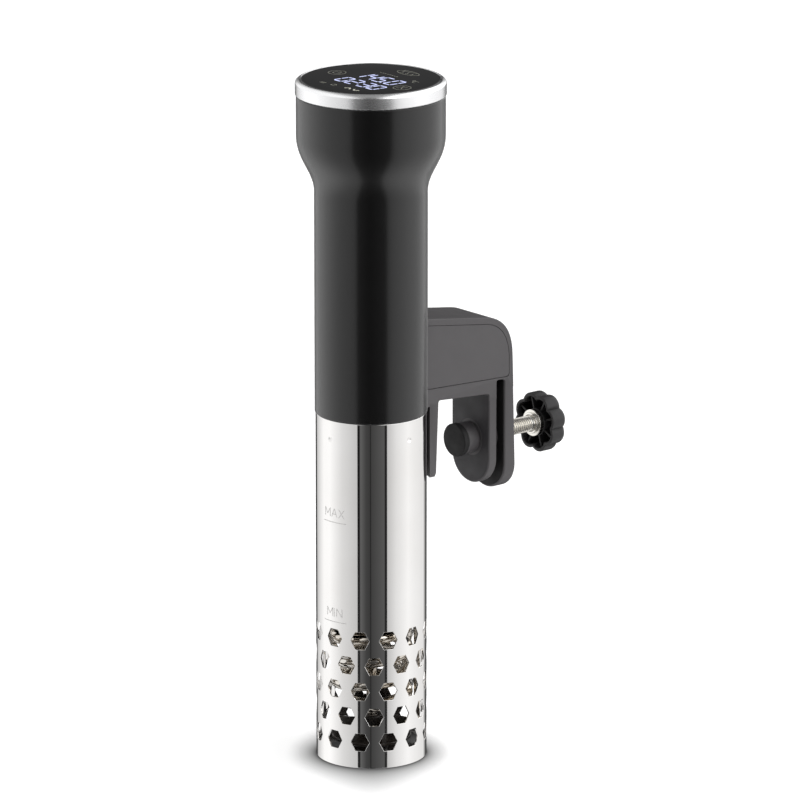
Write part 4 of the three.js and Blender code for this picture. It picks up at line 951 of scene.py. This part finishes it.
def symbol(name, paths, width, material=None):
    """A printed sign made of bands."""
    points, faces = [], []
    for path in paths:
        for quad in band(path, width):
            plate_on_glass(points, faces, quad)
    mesh = mesh_from(name, points, faces, 30)
    add_piece(name, mesh, material or PRINTED, "body")

def display_signs():
    number_row("temperature_digits", "145.0", -11.4, -2.2, 5.0, 9.8, 2.1, 1.0)
    number_row("time_digits", "02:30", -9.6, -15.0, 5.2, 8.6, 2.1, 1.0)
    symbol("unit_sign", [arc(17.6, 12.4, 0.7, 0, 360, 12), arc(20.2, 11.0, 1.5, 60, 300)], 0.35)
    on_off = (-20.7, -3.8)
    symbol("power_key", [arc(*on_off, 4.3, 0, 360, 40), arc(*on_off, 2.0, 125, 415, 20),
                         [(on_off[0], on_off[1] + 0.4), (on_off[0], on_off[1] + 2.8)]], 0.32)
    timer = (25.1, -1.6)
    glass = [(timer[0] + x, timer[1] + y) for x, y in
             ((-1.7, 2.2), (1.7, 2.2), (-1.7, -2.2), (1.7, -2.2), (-1.7, 2.2))]
    symbol("timer_key", [arc(*timer, 4.3, 0, 360, 40), glass], 0.34)
    symbol("menu_key", [[(-10.2, -22.2), (-6.6, -22.2)], [(-10.2, -23.4), (-6.6, -23.4)]], 0.4)
    symbol("lock_key", [[(-2.2, -23.4), (0.6, -23.4), (0.6, -21.8), (-2.2, -21.8), (-2.2, -23.4)],
                        arc(-0.8, -21.8, 0.9, 0, 180, 10)], 0.35)
    sign = (2.5, 21.4)
    waves = [[(sign[0] + x, sign[1] - 2.0 + y) for x, y in stem] for stem in
             ([(side + 0.5 * sin(k * 0.9), k * 0.5) for k in range(9)] for side in (-3.6, 0, 3.6))]
    frame_line = [(sign[0] + 7.2 * cos(TURN * k / 40), sign[1] + 3.2 * sin(TURN * k / 40))
                  for k in range(41)]
    symbol("steam_sign", [frame_line, *waves], 0.36)
    symbol("caption_line", [[(-7.4 + k * 1.7, 12.2), (-6.4 + k * 1.7, 12.2)] for k in range(8)], 0.5)
    for name, x, turn in (("up_key", 9.3, 1), ("down_key", 14.6, -1)):
        y = -21.8
        path = [(x - 1.8, y - turn * 0.8), (x, y + turn * 1.1), (x + 1.8, y - turn * 0.8)]
        symbol(name, [path], 1.0, FINISHES["bright_symbol"])

display_signs()

# ---------------------------------------------------------------- immersion parts

COIL_RADIUS, COIL_LOW, COIL_HIGH, COIL_TURNS = 17.0, 29.0, 76.0, 5
HEATER_R = 3.25
LOWER_LEG, UPPER_LEG, LEG_TOP = 9.8, 12.3, 183.0
PROBES = {"temp_probe": (1.5, 16, 48), "level_probe_1": (1.2, 70, 138), "level_probe_2": (1.2, 70, 228)}
PROBE_CIRCLE = 22.2

def polar(radius, angle, height):
    return (radius * cos(angle), radius * sin(angle), height)

def heater_path():
    """Down the inner leg, out to the coil, up round the coil and up the outer leg."""
    start = LEG_ANGLE + pi
    entry = start + TURN / 3
    points = [polar(UPPER_LEG, start, z) for z in (LEG_TOP, 150, 120, 95)]
    points += [polar(LOWER_LEG, start, z) for z in (80, 60, 42, 34)]
    points.append(polar(LOWER_LEG + 1.5, start + 0.35, COIL_LOW + 0.6))
    points.append(polar((LOWER_LEG + COIL_RADIUS) / 2 + 1, (start + entry) / 2, COIL_LOW))
    finish = LEG_ANGLE + TURN * COIL_TURNS
    steps = 12 * COIL_TURNS
    for i in range(steps + 1):
        t = i / steps
        angle = entry + (finish - 0.35 - entry) * t
        points.append(polar(COIL_RADIUS, angle, COIL_LOW + (COIL_HIGH - COIL_LOW) * t))
    points += [polar(COIL_RADIUS, finish, z) for z in (COIL_HIGH + 5, COIL_HIGH + 12, 110, 140, LEG_TOP)]
    return catmull_rom(points, 1.4)

def heater_coil():
    mesh = sweep("heater_coil", heater_path(), HEATER_R, 28, 50)
    stand_in("heater_tube", mesh, "body", "heater_coil", "inner_steel")

def shaft_tube():
    low, high = span("shaft_tube")
    profile = rounded([(high.x, low.z), (high.x, high.z), (high.x - 0.8, high.z), (high.x - 0.8, low.z)],
                      [0.3, 0.1, 0.1, 0.3])
    stand_in("shaft_sleeve", lathe("shaft_tube", profile, 64), "body", "shaft_tube", "inner_steel")

def drive_shaft():
    low, high = span("drive_shaft")
    profile = [(0, low.z), (high.x - 0.4, low.z), (high.x, low.z + 0.4), (high.x, high.z - 0.4),
               (high.x - 0.4, high.z), (0, high.z)]
    stand_in("impeller_shaft", lathe("drive_shaft", profile, 48), "rotor", "drive_shaft", "inner_steel")

def coil_brace():
    low, high = span("coil_brace")
    outline = rounded([(-17.8, -5), (22.5, -5), (22.5, 5), (-17.8, 5)], 2)
    plate = prism("plate", outline, low.z, high.z, 0.35)
    collar = prism("collar", disc_outline(0, 0, 8, 48), low.z, high.z, 0.35)
    holes = [standing_cylinder("hole", r, low.z - 1, high.z + 1, 32)
             for r in (HEATER_R + 0.3, HEATER_R + 0.3, 5.8)]
    for hole, x in zip(holes, (COIL_RADIUS, -UPPER_LEG, 0)):
        moved(hole, Matrix.Translation((x, 0, 0)))
    mesh = combined("coil_brace", "DIFFERENCE", combined("joined", "UNION", plate, [collar]), holes)
    moved(mesh, Matrix.Rotation(LEG_ANGLE, 4, "Z"))
    stand_in("heater_brace", mesh, "body", "coil_brace", "plain_steel")

def probes():
    for node, (radius, bottom, angle) in PROBES.items():
        angles = [pi / 2 * k / 6 for k in range(7)]
        tip = [(radius * sin(a), bottom + radius * (1 - cos(a))) for a in angles]
        mesh = lathe(node, [*tip, (radius, LEG_TOP), (0, LEG_TOP)], 32)
        moved(mesh, Matrix.Translation(polar(PROBE_CIRCLE, radians(angle), 0)))
        stand_in(node.replace("probe", "rod"), mesh, "body", node, "inner_steel")

def bulkhead():
    low, high = span("bulkhead")
    outer, spigot = 25.9, 24.9
    profile = rounded([(5.8, low.z), (outer, low.z), (outer, 168.2), (24.1, 168.2), (24.1, 171),
                       (outer, 171), (outer, 173.6), (spigot, 173.6), (spigot, high.z),
                       (8.3, high.z), (8.3, 175), (5.8, 175)],
                      [0.2, 0.8, 0.3, 0, 0, 0.3, 0.1, 0, 0.3, 0, 0, 0])
    passages = [(HEATER_R, COIL_RADIUS, LEG_ANGLE), (HEATER_R, UPPER_LEG, LEG_ANGLE + pi)]
    passages += [(radius, PROBE_CIRCLE, radians(angle)) for radius, _, angle in PROBES.values()]
    holes = []
    for radius, circle, angle in passages:
        hole = standing_cylinder("hole", radius + 0.3, low.z - 1, high.z + 1, 24)
        holes.append(moved(hole, Matrix.Translation(polar(circle, angle, 0))))
    for i in range(4):
        slot = prism("keyway", [(outer - 1, -2.2), (outer + 1, -2.2), (outer + 1, 2.2), (outer - 1, 2.2)],
                     low.z - 1, DIMPLE_HEIGHT + 2.2)
        holes.append(moved(slot, Matrix.Rotation(DIMPLE_ANGLE + TURN * i / 4, 4, "Z")))
    mesh = combined("bulkhead", "DIFFERENCE", lathe("plug", profile, 96), holes)
    stand_in("skirt_plug", mesh, "body", "bulkhead", "inner_plastic")

def bulkhead_seal():
    low, high = span("bulkhead_seal")
    middle, size = (low.z + high.z) / 2, (high.z - low.z) / 2
    centre = high.x - size
    section = [(centre + size * cos(TURN * k / 16), middle + size * sin(TURN * k / 16)) for k in range(16)]
    stand_in("skirt_seal", lathe("bulkhead_seal", section, 120, 60), "body", "bulkhead_seal", "rubber")

def blade_outline(inner, outer, thickness, sweep_angle, steps=10):
    """A blade seen from above that curves backwards from hub to tip."""
    front, back = [], []
    for k in range(steps + 1):
        t = k / steps
        radius = inner + (outer - inner) * t
        angle = -sweep_angle * t * t
        half = thickness / 2 / radius
        front.append((radius * cos(angle - half), radius * sin(angle - half)))
        back.append((radius * cos(angle + half), radius * sin(angle + half)))
    return front + back[::-1]

def impeller():
    low, high = span("impeller")
    hub_r, tip, bore = 5.5, 19.5, 2.8
    hub = rounded([(bore, low.z), (hub_r, low.z), (hub_r, high.z), (bore, high.z)], [0.2, 0, 0.8, 0.3])
    corners = [(bore, low.z), (tip, low.z), (tip, low.z + 1.6), (bore, low.z + 1.6)]
    plate = rounded(corners, [0.2, 0.5, 0.5, 0])
    blades = []
    for i in range(6):
        blade = prism("blade", blade_outline(hub_r - 1.2, tip - 0.3, 1.4, radians(22)), low.z + 0.8,
                      high.z - 1.5, 0.35)
        blades.append(moved(blade, Matrix.Rotation(TURN * i / 6, 4, "Z")))
    mesh = combined("impeller", "UNION", lathe("hub", hub, 48), [lathe("plate", plate, 96), *blades])
    stand_in("pump_wheel", mesh, "rotor", "impeller", "black_plastic")

def impeller_nut():
    low, high = span("impeller_nut")
    body = prism("nut", disc_outline(0, 0, 4.5, 6), low.z, high.z, 0.3)
    hole = standing_cylinder("hole", 2.8, low.z - 1, high.z + 1, 32)
    mesh = combined("impeller_nut", "DIFFERENCE", body, [hole])
    stand_in("wheel_nut", mesh, "rotor", "impeller_nut", "brass")

for make in (heater_coil, shaft_tube, drive_shaft, coil_brace, probes, bulkhead, bulkhead_seal, impeller,
             impeller_nut):
    make()

# ---------------------------------------------------------------- clamp bracket

HALF_WIDTH = span("clamp_bracket")[1].x
SCREW_HEIGHT = (span("clamp_screw")[0].z + span("clamp_screw")[1].z) / 2
GROOVE_TOP = 179.6
HUG_RADIUS_BELOW = 29.1
HUG_RADIUS_ABOVE = 27.6
PANEL_INSET = 3.5
BEND_START, BEND_END = 61.5, 191.5
INNER_PLATE = (63.6, 68.6)
OUTER_PLATE_FACE = 73.7
BOSS_RADIUS = 9
SCREW_ROWS = (186, 208)

def arm_top(reach):
    return 221.55 - 0.1455 * reach

def outer_face(height):
    return 80.37 - 0.0318 * (height - 149.6)

def arm_outline(margin, start):
    """The arm's top and its rounded outer corner, moved inwards by a margin, as (Y, Z) points."""
    side = margin * 0.7
    corner = outer_face(209.5) - side
    turns = [(BEND_START, arm_top(BEND_START) - margin), (corner, arm_top(corner) - margin),
             (outer_face(BEND_END) - side, BEND_END - margin * 0.5)]
    return [(start, arm_top(start) - margin), *bend(*map(Vector, turns), 16)]

def arm_side_view():
    shelf = GROOVE_TOP - 5
    tail = [(outer_face(shelf), shelf), (74.6, shelf), (73.9, GROOVE_TOP), (68.6, GROOVE_TOP), (68.6, 170),
            (63.6, 170), (63.6, 173.6), (31.3, 175.9), (29.8, 139.6), (28.9, 138), (20, 138)]
    return arm_outline(0, 20) + rounded(tail, [0, 0, 3, 1.2, 0, 0, 1.3, 1.3, 4, 0, 0], 6, closed=False)

def extruded_across(name, outline, low, high, edge=0.0, steps=3):
    """Extrudes a side view of (Y, Z) points across X."""
    return moved(prism(name, outline, low, high, edge, steps), across_x())

def tongue(name, start, end, bottom, top, edge, radius=HALF_WIDTH):
    """A plate across the leg with a half-round lower end, rounded all round."""
    around = [(radius * cos(pi + pi * k / 40), bottom + radius + radius * sin(pi + pi * k / 40))
              for k in range(41)]
    outline = [(radius, top), (-radius, top), *around]
    flat = prism(name, [(x, -z) for x, z in outline], start, end, edge, 4)
    return moved(flat, along_y(0))

def lean_outer_face(mesh, start, end):
    """Leans the far side of a plate so that it follows the arm's outer face."""
    for vertex in mesh.vertices:
        share = (vertex.co.y / MM - start) / (end - start)
        vertex.co.y += share * (outer_face(vertex.co.z / MM) - end) * MM
    return mesh

def panel_outline(clearance):
    margin = PANEL_INSET - clearance
    right = outer_face(BEND_END) - 0.7 * margin
    bottom = 180.6 - clearance
    corner = [(right, bottom + 5), (right, bottom), (20, bottom + 2.4)]
    return arm_outline(margin, 20) + rounded(corner, [0, 3.4, 0], 8, closed=False)

def hug_cut():
    """What the tube takes out of the bracket: the skirt with a gap round it, and the neck closely."""
    step = span("main_housing")[0].z
    return lathe("hug", [(0, 130), (HUG_RADIUS_BELOW, 130), (HUG_RADIUS_BELOW, step),
                         (HUG_RADIUS_ABOVE, step), (HUG_RADIUS_ABOVE, 230), (0, 230)], 160)

def bracket():
    arm = extruded_across("arm", arm_side_view(), -HALF_WIDTH, HALF_WIDTH, 0.55, 4)
    inner = tongue("inner", *INNER_PLATE, 126.2, 171, 0.7)
    outer_at_screw = outer_face(SCREW_HEIGHT)
    straight = tongue("outer", OUTER_PLATE_FACE, outer_at_screw, 122, GROOVE_TOP + 1, 0.9)
    outer = lean_outer_face(straight, OUTER_PLATE_FACE, outer_at_screw)
    boss = cylinder_y("boss", BOSS_RADIUS, 64.6, outer_at_screw - 1, SCREW_HEIGHT, 48)
    web = extruded_across("web", [(67.6, SCREW_HEIGHT), (74.7, SCREW_HEIGHT), (74.7, GROOVE_TOP + 1),
                                  (67.6, GROOVE_TOP + 1)], -2.5, 2.5)
    solid = combined("bracket", "UNION", arm, [inner, outer, boss, web])
    pockets = []
    for low, high in ((HALF_WIDTH - 2, HALF_WIDTH + 1), (-HALF_WIDTH - 1, 2 - HALF_WIDTH)):
        pockets.append(extruded_across("pocket", panel_outline(0.22), low, high))
    bore = cylinder_y("bore", 6.3, 60, 86, SCREW_HEIGHT, 48)
    hugged = combined("hugged", "DIFFERENCE", solid, [hug_cut(), bore, *pockets])
    seat = prism("seat", [(-8, 26), (8, 26), (8, 32), (-8, 32)], 181, 212)
    screw_holes = [cylinder_y("hole", 1.8, 20, 37.5, height, 24) for height in SCREW_ROWS]
    mesh = combined("clamp_bracket", "DIFFERENCE", combined("seated", "UNION", hugged, [seat]),
                    [standing_cylinder("seat_cut", 27.72, 170, 230), *screw_holes])
    stand_in("clamp_arm", mesh, "body", "clamp_bracket", "clamp_plastic", flat_faces=True)

def side_panels():
    thick = 1.7
    for node, low in (("side_panel_right", HALF_WIDTH - thick), ("side_panel_left", -HALF_WIDTH)):
        plate = extruded_across("plate", panel_outline(0), low, low + thick, 0.25, 3)
        mesh = combined(node, "DIFFERENCE", plate, [hug_cut()])
        name = node.replace("side_panel", "arm_panel")
        stand_in(name, mesh, "body", node, "clamp_plastic", flat_faces=True)

def bracket_screws():
    """Pan-head screws that hold the bracket from inside the neck."""
    for node, height in zip(("bracket_screw_lower", "bracket_screw_upper"), SCREW_ROWS):
        profile = [(0, -2), (2.0, -2), (2.6, -1.7), (2.8, -1.1), (2.8, 0), (1.5, 0), (1.5, 10.4),
                   (0.9, 11), (0, 11)]
        mesh = moved(lathe(node, profile, 32), Matrix.Translation((0, 24.6, 0)) @ along_y(height))
        stand_in(node.replace("bracket", "arm"), mesh, "body", node, "plain_steel")

def groove_painted_shade():
    """A dark sheet inside the outer plate of the leg: painted shade for the groove, where the inner plate
    keeps the light off.
    """
    mesh = tongue("shade_sheet", 73.45, 73.9, 123, GROOVE_TOP - 0.5, 0.15, HALF_WIDTH - 0.75)
    gap = cylinder_y("gap", 9.2, 70, 76, SCREW_HEIGHT, 48)
    web = extruded_across("web", [(70, SCREW_HEIGHT), (76, SCREW_HEIGHT), (76, 190), (70, 190)], -2.7, 2.7)
    mesh = combined("groove_painted_shade", "DIFFERENCE", mesh, [gap, web])
    # The silicone rubber here is painted shade, not a real liner.
    add_piece("groove_painted_shade", mesh, FINISHES["rubber"], "body")

def jaw_painted_shade():
    """A dark sheet on the face of the plate that the pad comes through: painted shade, where the tube keeps
    the light off.
    """
    mesh = tongue("shade_sheet", 63.45, 63.9, 127.0, 172.6, 0.12, HALF_WIDTH - 0.7)
    mesh = combined("jaw_painted_shade", "DIFFERENCE", mesh, [cylinder_y("gap", 9.2, 60, 70, SCREW_HEIGHT, 48)])
    # This sheet is painted shade, not a real part of the jaw.
    add_piece("jaw_painted_shade", mesh, FINISHES["shaded_plastic"], "body")

bracket()
side_panels()
groove_painted_shade()
jaw_painted_shade()
bracket_screws()

# ---------------------------------------------------------------- clamp screw, knob and pad

KNOB_LOBES = 8
KNOB_LOW, KNOB_HIGH = span("clamp_knob")
KNOB_TIP = 14.9
KNOB_NOTCH = 13.0
KNOB_FIRST_LOBE = radians(-17)

def lobed(offset, steps=16):
    """The knob's outline with round lobes and tight notches, moved inwards by an offset."""
    result = []
    count = KNOB_LOBES * steps
    for k in range(count):
        turn = TURN * k / count
        bulge = abs(cos(KNOB_LOBES * turn / 2)) ** 0.85
        radius = KNOB_NOTCH - offset + (KNOB_TIP - KNOB_NOTCH) * bulge
        angle = KNOB_FIRST_LOBE + turn
        result.append((radius * cos(angle), radius * sin(angle)))
    return result

def knob_shell(face, back):
    """The lobed wall and floor of the knob as one closed skin, from the hub round the rim to the back."""
    wall, floor = 1.7, back - 2.6
    stations = [(wall + 0.25, floor), (wall + 0.05, floor - 0.4), (wall, face + 0.35), (wall - 0.35, face),
                (0.45, face), (0.12, face + 0.12), (0, face + 0.45), (0, back - 3.0)]
    for k in range(1, 9):
        turn = pi / 2 * k / 8
        stations.append((3.0 * (1 - cos(turn)), back - 3.0 + 3.0 * sin(turn)))
    loops = [[(x, y, z) for x, y in lobed(offset)] for offset, z in stations]
    return loft("knob_shell", loops, 50)

def clamp_knob():
    face, back = KNOB_LOW.y, KNOB_HIGH.y
    floor = back - 2.6
    hub_start = span("screw_collar")[1].y + 0.3
    hub = lathe("hub", rounded([(0, hub_start), (6.9, hub_start), (6.9, floor + 0.5), (0, floor + 0.5)],
                               [0, 0.4, 0, 0]), 64)
    ribs = []
    for i in range(KNOB_LOBES):
        outline = [(6, -0.5), (13.6, -0.5), (13.6, 0.5), (6, 0.5)]
        rib = prism("rib", outline, hub_start + 0.8, floor + 0.5, 0.15)
        ribs.append(moved(rib, Matrix.Rotation(KNOB_FIRST_LOBE + TURN * i / KNOB_LOBES, 4, "Z")))
    solid = combined("knob", "UNION", knob_shell(face, back), [hub, *ribs], 50)
    bore = standing_cylinder("bore", 4.3, face - 2, 111.1, 48)
    mesh = moved(combined("clamp_knob", "DIFFERENCE", solid, [bore], 40), along_y(SCREW_HEIGHT))
    stand_in("star_knob", mesh, "clamp_screw", "clamp_knob", "knob_plastic")

def threaded_rod():
    """An M8 thread: rings of one turned profile whose ridge climbs by one pitch a turn."""
    low, high = span("clamp_screw")
    major, pitch, depth = 4.0, 1.25, 0.75
    start, end, thread_end = low.y, high.y, 101.6
    sides, per_pitch = 48, 10
    rows = int((thread_end - start) / pitch * per_pitch)
    loops = [circle(0.02, start, sides)]

    def ridge(height, angle):
        phase = (height / pitch - angle / TURN) % 1.0
        shape = min(1.0, max(0.0, 1.45 * (1 - abs(2 * phase - 1)) - 0.2))
        lead_in = min(1.0, (height - start) / 1.0, max(0.0, (thread_end - height) / 1.2))
        return major - depth + depth * shape * max(0.25, lead_in)

    for row in range(rows + 1):
        height = start + (thread_end - start) * row / rows
        angles = [TURN * k / sides for k in range(sides)]
        loops.append([(ridge(height, a) * cos(a), ridge(height, a) * sin(a), height) for a in angles])
    for radius, height in ((major - 0.05, thread_end + 0.4), (major - 0.05, end - 0.5), (major - 0.5, end)):
        loops.append(circle(radius, height, sides))
    mesh = moved(loft("clamp_screw", loops, 60), along_y(SCREW_HEIGHT))
    stand_in("threaded_rod", mesh, "clamp_screw", "clamp_screw", "screw_steel")

def screw_collar():
    low, high = span("screw_collar")
    start, end = low.y, high.y
    step = start + 1.2
    profile = rounded([(4.3, start), (5.4, start), (5.4, step), (6.7, step), (6.7, end), (4.3, end)],
                      [0.1, 0.35, 0.1, 0.35, 0.2, 0.1])
    mesh = moved(lathe("screw_collar", profile, 96), along_y(SCREW_HEIGHT))
    stand_in("knob_collar", mesh, "clamp_screw", "screw_collar", "screw_steel")

def pressure_pad():
    low, high = span("pressure_pad")
    corners = [(0, low.y), (8.3, low.y), (8.3, high.y), (0, high.y)]
    profile = rounded(corners, [0, 0.7, 0.3, 0], 6, closed=False)
    mesh = moved(lathe("pressure_pad", profile, 96), along_y(SCREW_HEIGHT))
    stand_in("pad_face", mesh, "clamp_pad", "pressure_pad", "rubber")

def pad_core():
    low, high = span("pad_core")
    inner = 58.3
    profile = rounded([(0, low.y), (7.9, low.y), (7.9, high.y), (4.3, high.y), (4.3, inner), (0, inner)],
                      [0, 0.8, 0.4, 0.2, 0, 0], 6, closed=False)
    mesh = moved(lathe("pad_core", profile, 96), along_y(SCREW_HEIGHT))
    stand_in("pad_socket", mesh, "clamp_pad", "pad_core", "clamp_plastic")

for make in (clamp_knob, threaded_rod, screw_collar, pressure_pad, pad_core):
    make()

# ---------------------------------------------------------------- parts that stay as built

def finish_inner_parts():
    """Gives every part that keeps its own shape the finish of its slot."""
    slots = {part["node"]: part["material_slot"] for part in frame["record"]["subparts"]}
    for node, carried in frame["nodes"].items():
        if node in REPLACED:
            continue
        for place in carried.material_slots:
            place.material = FINISHES[slots[node]]

finish_inner_parts()

# ---------------------------------------------------------------- studio

CAMERA_POLAR = VIEW_AZIMUTH - 90.0

# Brightness seen at each azimuth, in degrees from the camera's own direction, counter-clockwise from above.
# White screens stand on both sides, with a narrow black flag at the inner edge of each and a dim
# room between.
STUDIO = [(-180, 0.03), (-158, 0.04), (-150, 0.62), (-117, 1.13), (-96, 1.15), (-63, 0.81), (-36, 0.66),
          (-29.3, 0.63), (-28.4, 0.008), (-24.2, 0.008), (-23.3, 0.14), (-11, 0.062), (-2.3, 0.047),
          (-1.9, 0.012), (-0.9, 0.012), (-0.5, 0.055), (8, 0.072), (27.6, 0.108),
          (28.6, 0.012), (32.4, 0.012),
          (33.6, 0.61), (53, 0.86), (83, 1.08), (101, 1.0),
          (139, 0.88), (150, 0.25), (158, 0.05), (180, 0.03)]
SKY_LEFT, SKY_RIGHT, SKY_AHEAD, SKY_BEHIND = 1.0, 1.9, 0.09, 0.075
OVERHEAD = 0.2
BACKDROP = 1.6

# The painted contact shadow, how the floor darkens towards the foot: (share of the reach, share of the light
# that is left).
CONTACT_REACH = 15.0
FLOOR_GREY = 0.86
CONTACT_SHADE = [(0, 0.08), (0.06, 0.2), (0.15, 0.34), (0.3, 0.5), (0.5, 0.68), (0.75, 0.88), (1.0, 1.0)]

class Graph:
    """Short ways to add nodes that work on numbers, in a material or a world."""

    def __init__(self, nodes, links):
        self.nodes = nodes
        self.links = links

    def put(self, value, socket):
        if isinstance(value, (int, float)):
            socket.default_value = value
        else:
            self.links.new(value, socket)

    def math(self, operation, *values):
        node = self.nodes.new("ShaderNodeMath")
        node.operation = operation
        for socket, value in zip(node.inputs, values):
            self.put(value, socket)
        return node.outputs[0]

    def mixed(self, factor, first, second):
        node = self.nodes.new("ShaderNodeMix")
        for name, value in (("Factor", factor), ("A", first), ("B", second)):
            self.put(value, node.inputs[name])
        return node.outputs["Result"]

    def smooth(self, value, start, end):
        node = self.nodes.new("ShaderNodeMapRange")
        node.interpolation_type = "SMOOTHSTEP"
        node.inputs["From Min"].default_value = start
        node.inputs["From Max"].default_value = end
        self.links.new(value, node.inputs["Value"])
        return node.outputs["Result"]

    def facing_camera(self, vector):
        """Turns a vector about Z so that X points towards the camera and Y to its right."""
        turned = self.nodes.new("ShaderNodeMapping")
        turned.inputs["Rotation"].default_value = (0, 0, radians(-CAMERA_POLAR))
        self.links.new(vector, turned.inputs["Vector"])
        return turned.outputs["Vector"]

    def length(self, vector):
        node = self.nodes.new("ShaderNodeVectorMath")
        node.operation = "LENGTH"
        self.links.new(vector, node.inputs[0])
        return node.outputs["Value"]

    def grey_ramp(self, value, stops):
        ramp = self.nodes.new("ShaderNodeValToRGB")
        self.links.new(value, ramp.inputs["Fac"])
        elements = ramp.color_ramp.elements
        while len(elements) > 1:
            elements.remove(elements[-1])
        for i, (place, grey) in enumerate(stops):
            element = elements[0] if i == 0 else elements.new(place)
            element.position = place
            element.color = (grey, grey, grey, 1)
        return ramp.outputs["Color"]

def studio_world():
    world = bpy.data.worlds.new("studio")
    bpy.context.scene.world = world
    world.use_nodes = True
    graph = Graph(world.node_tree.nodes, world.node_tree.links)
    background = graph.nodes["Background"]
    background.inputs["Color"].default_value = (1, 1, 1, 1)
    parts = graph.nodes.new("ShaderNodeSeparateXYZ")
    direction = graph.nodes.new("ShaderNodeTexCoord").outputs["Generated"]
    graph.links.new(graph.facing_camera(direction), parts.inputs["Vector"])
    ahead, lateral, upward = parts.outputs
    azimuth = graph.math("MULTIPLY_ADD", graph.math("ARCTAN2", lateral, ahead), 1 / TURN, 0.5)
    elevation = graph.math("ARCSINE", upward)

    # A ramp stops at one, so its values are halved here and doubled after it.
    halved = [(angle / 360 + 0.5, value / 2) for angle, value in STUDIO]
    screens = graph.math("MULTIPLY", graph.grey_ramp(azimuth, halved), 2.0)
    sky = graph.mixed(graph.smooth(ahead, -0.6, 0.3), SKY_BEHIND, SKY_AHEAD)
    sky = graph.mixed(graph.smooth(upward, 0.6, 0.95), sky, OVERHEAD)
    sky = graph.mixed(graph.smooth(lateral, 0.15, 0.5), sky, SKY_RIGHT)
    sky = graph.mixed(graph.smooth(lateral, -0.15, -0.5), sky, SKY_LEFT)
    whole = graph.mixed(graph.smooth(elevation, radians(-4), radians(6)), screens, sky)
    seen_directly = graph.nodes.new("ShaderNodeLightPath").outputs["Is Camera Ray"]
    graph.put(graph.mixed(seen_directly, whole, BACKDROP), background.inputs["Strength"])

def floor_finish():
    """A pale floor, a little self-lit, with a soft painted contact shadow round the foot."""
    finish = Finish("pale floor", (FLOOR_GREY,) * 3, 0.9, Emission_Strength=0.42)
    graph = Graph(finish.nodes, finish.links)
    along_floor = graph.facing_camera(finish.place)
    squashed = finish.nodes.new("ShaderNodeVectorMath")
    squashed.operation = "MULTIPLY"
    squashed.inputs[1].default_value = (sin(radians(VIEW_ELEVATION)), 1, 0)
    finish.links.new(along_floor, squashed.inputs[0])
    distance, seen_distance = graph.length(along_floor), graph.length(squashed.outputs["Vector"])
    share_seen = graph.math("DIVIDE", seen_distance, distance)
    away = graph.math("MULTIPLY", graph.math("SUBTRACT", distance, SKIRT_R * MM), share_seen)
    # Painted shadow: the floor's colour and glow darken with distance from the skirt.
    shade_left = graph.grey_ramp(graph.math("DIVIDE", away, CONTACT_REACH * MM), CONTACT_SHADE)
    painted_shadow_color = finish.nodes.new("ShaderNodeMix")
    painted_shadow_color.data_type = "RGBA"
    painted_shadow_color.blend_type = "MULTIPLY"
    painted_shadow_color.inputs["Factor"].default_value = 1.0
    painted_shadow_color.inputs["A"].default_value = (FLOOR_GREY, FLOOR_GREY, FLOOR_GREY, 1)
    finish.links.new(shade_left, painted_shadow_color.inputs["B"])
    finish.links.new(painted_shadow_color.outputs["Result"], finish.shader.inputs["Base Color"])
    finish.links.new(shade_left, finish.shader.inputs["Emission Color"])
    return finish.material

def floor():
    radii, height, sides = (60, 200, 800, 3000, 16000), -0.15, 96
    points = [(0, 0, height)]
    faces = []
    for radius in radii:
        points += circle(radius, height, sides)
    for k in range(sides):
        j = (k + 1) % sides
        faces.append((0, 1 + k, 1 + j))
        for ring in range(len(radii) - 1):
            a, b = 1 + ring * sides, 1 + (ring + 1) * sides
            faces.append((a + k, b + k, b + j, a + j))
    mesh = mesh_from("floor", points, faces)
    mesh.materials.append(floor_finish())
    piece = bpy.data.objects.new("floor", mesh)
    bpy.context.scene.collection.objects.link(piece)
    piece.visible_glossy = False

def camera():
    azimuth, elevation = radians(VIEW_AZIMUTH), radians(VIEW_ELEVATION)
    back = Vector((sin(azimuth) * cos(elevation), -cos(azimuth) * cos(elevation), sin(elevation)))
    right = Vector((cos(azimuth), sin(azimuth), 0))
    up = back.cross(right)
    data = bpy.data.cameras.new("camera")
    data.lens = LENS
    data.sensor_width = 36.0
    data.clip_start = 0.1
    data.clip_end = 100.0
    holder = bpy.data.objects.new("camera", data)
    holder.location = VIEW_TARGET + back * VIEW_DISTANCE
    aim = VIEW_TARGET + right * VIEW_RIGHT + up * VIEW_UP
    holder.rotation_euler = (aim - holder.location).to_track_quat("-Z", "Y").to_euler()
    bpy.context.scene.collection.objects.link(holder)
    bpy.context.scene.camera = holder

studio_world()
floor()
camera()
bpy.context.scene.view_settings.view_transform = "Standard"
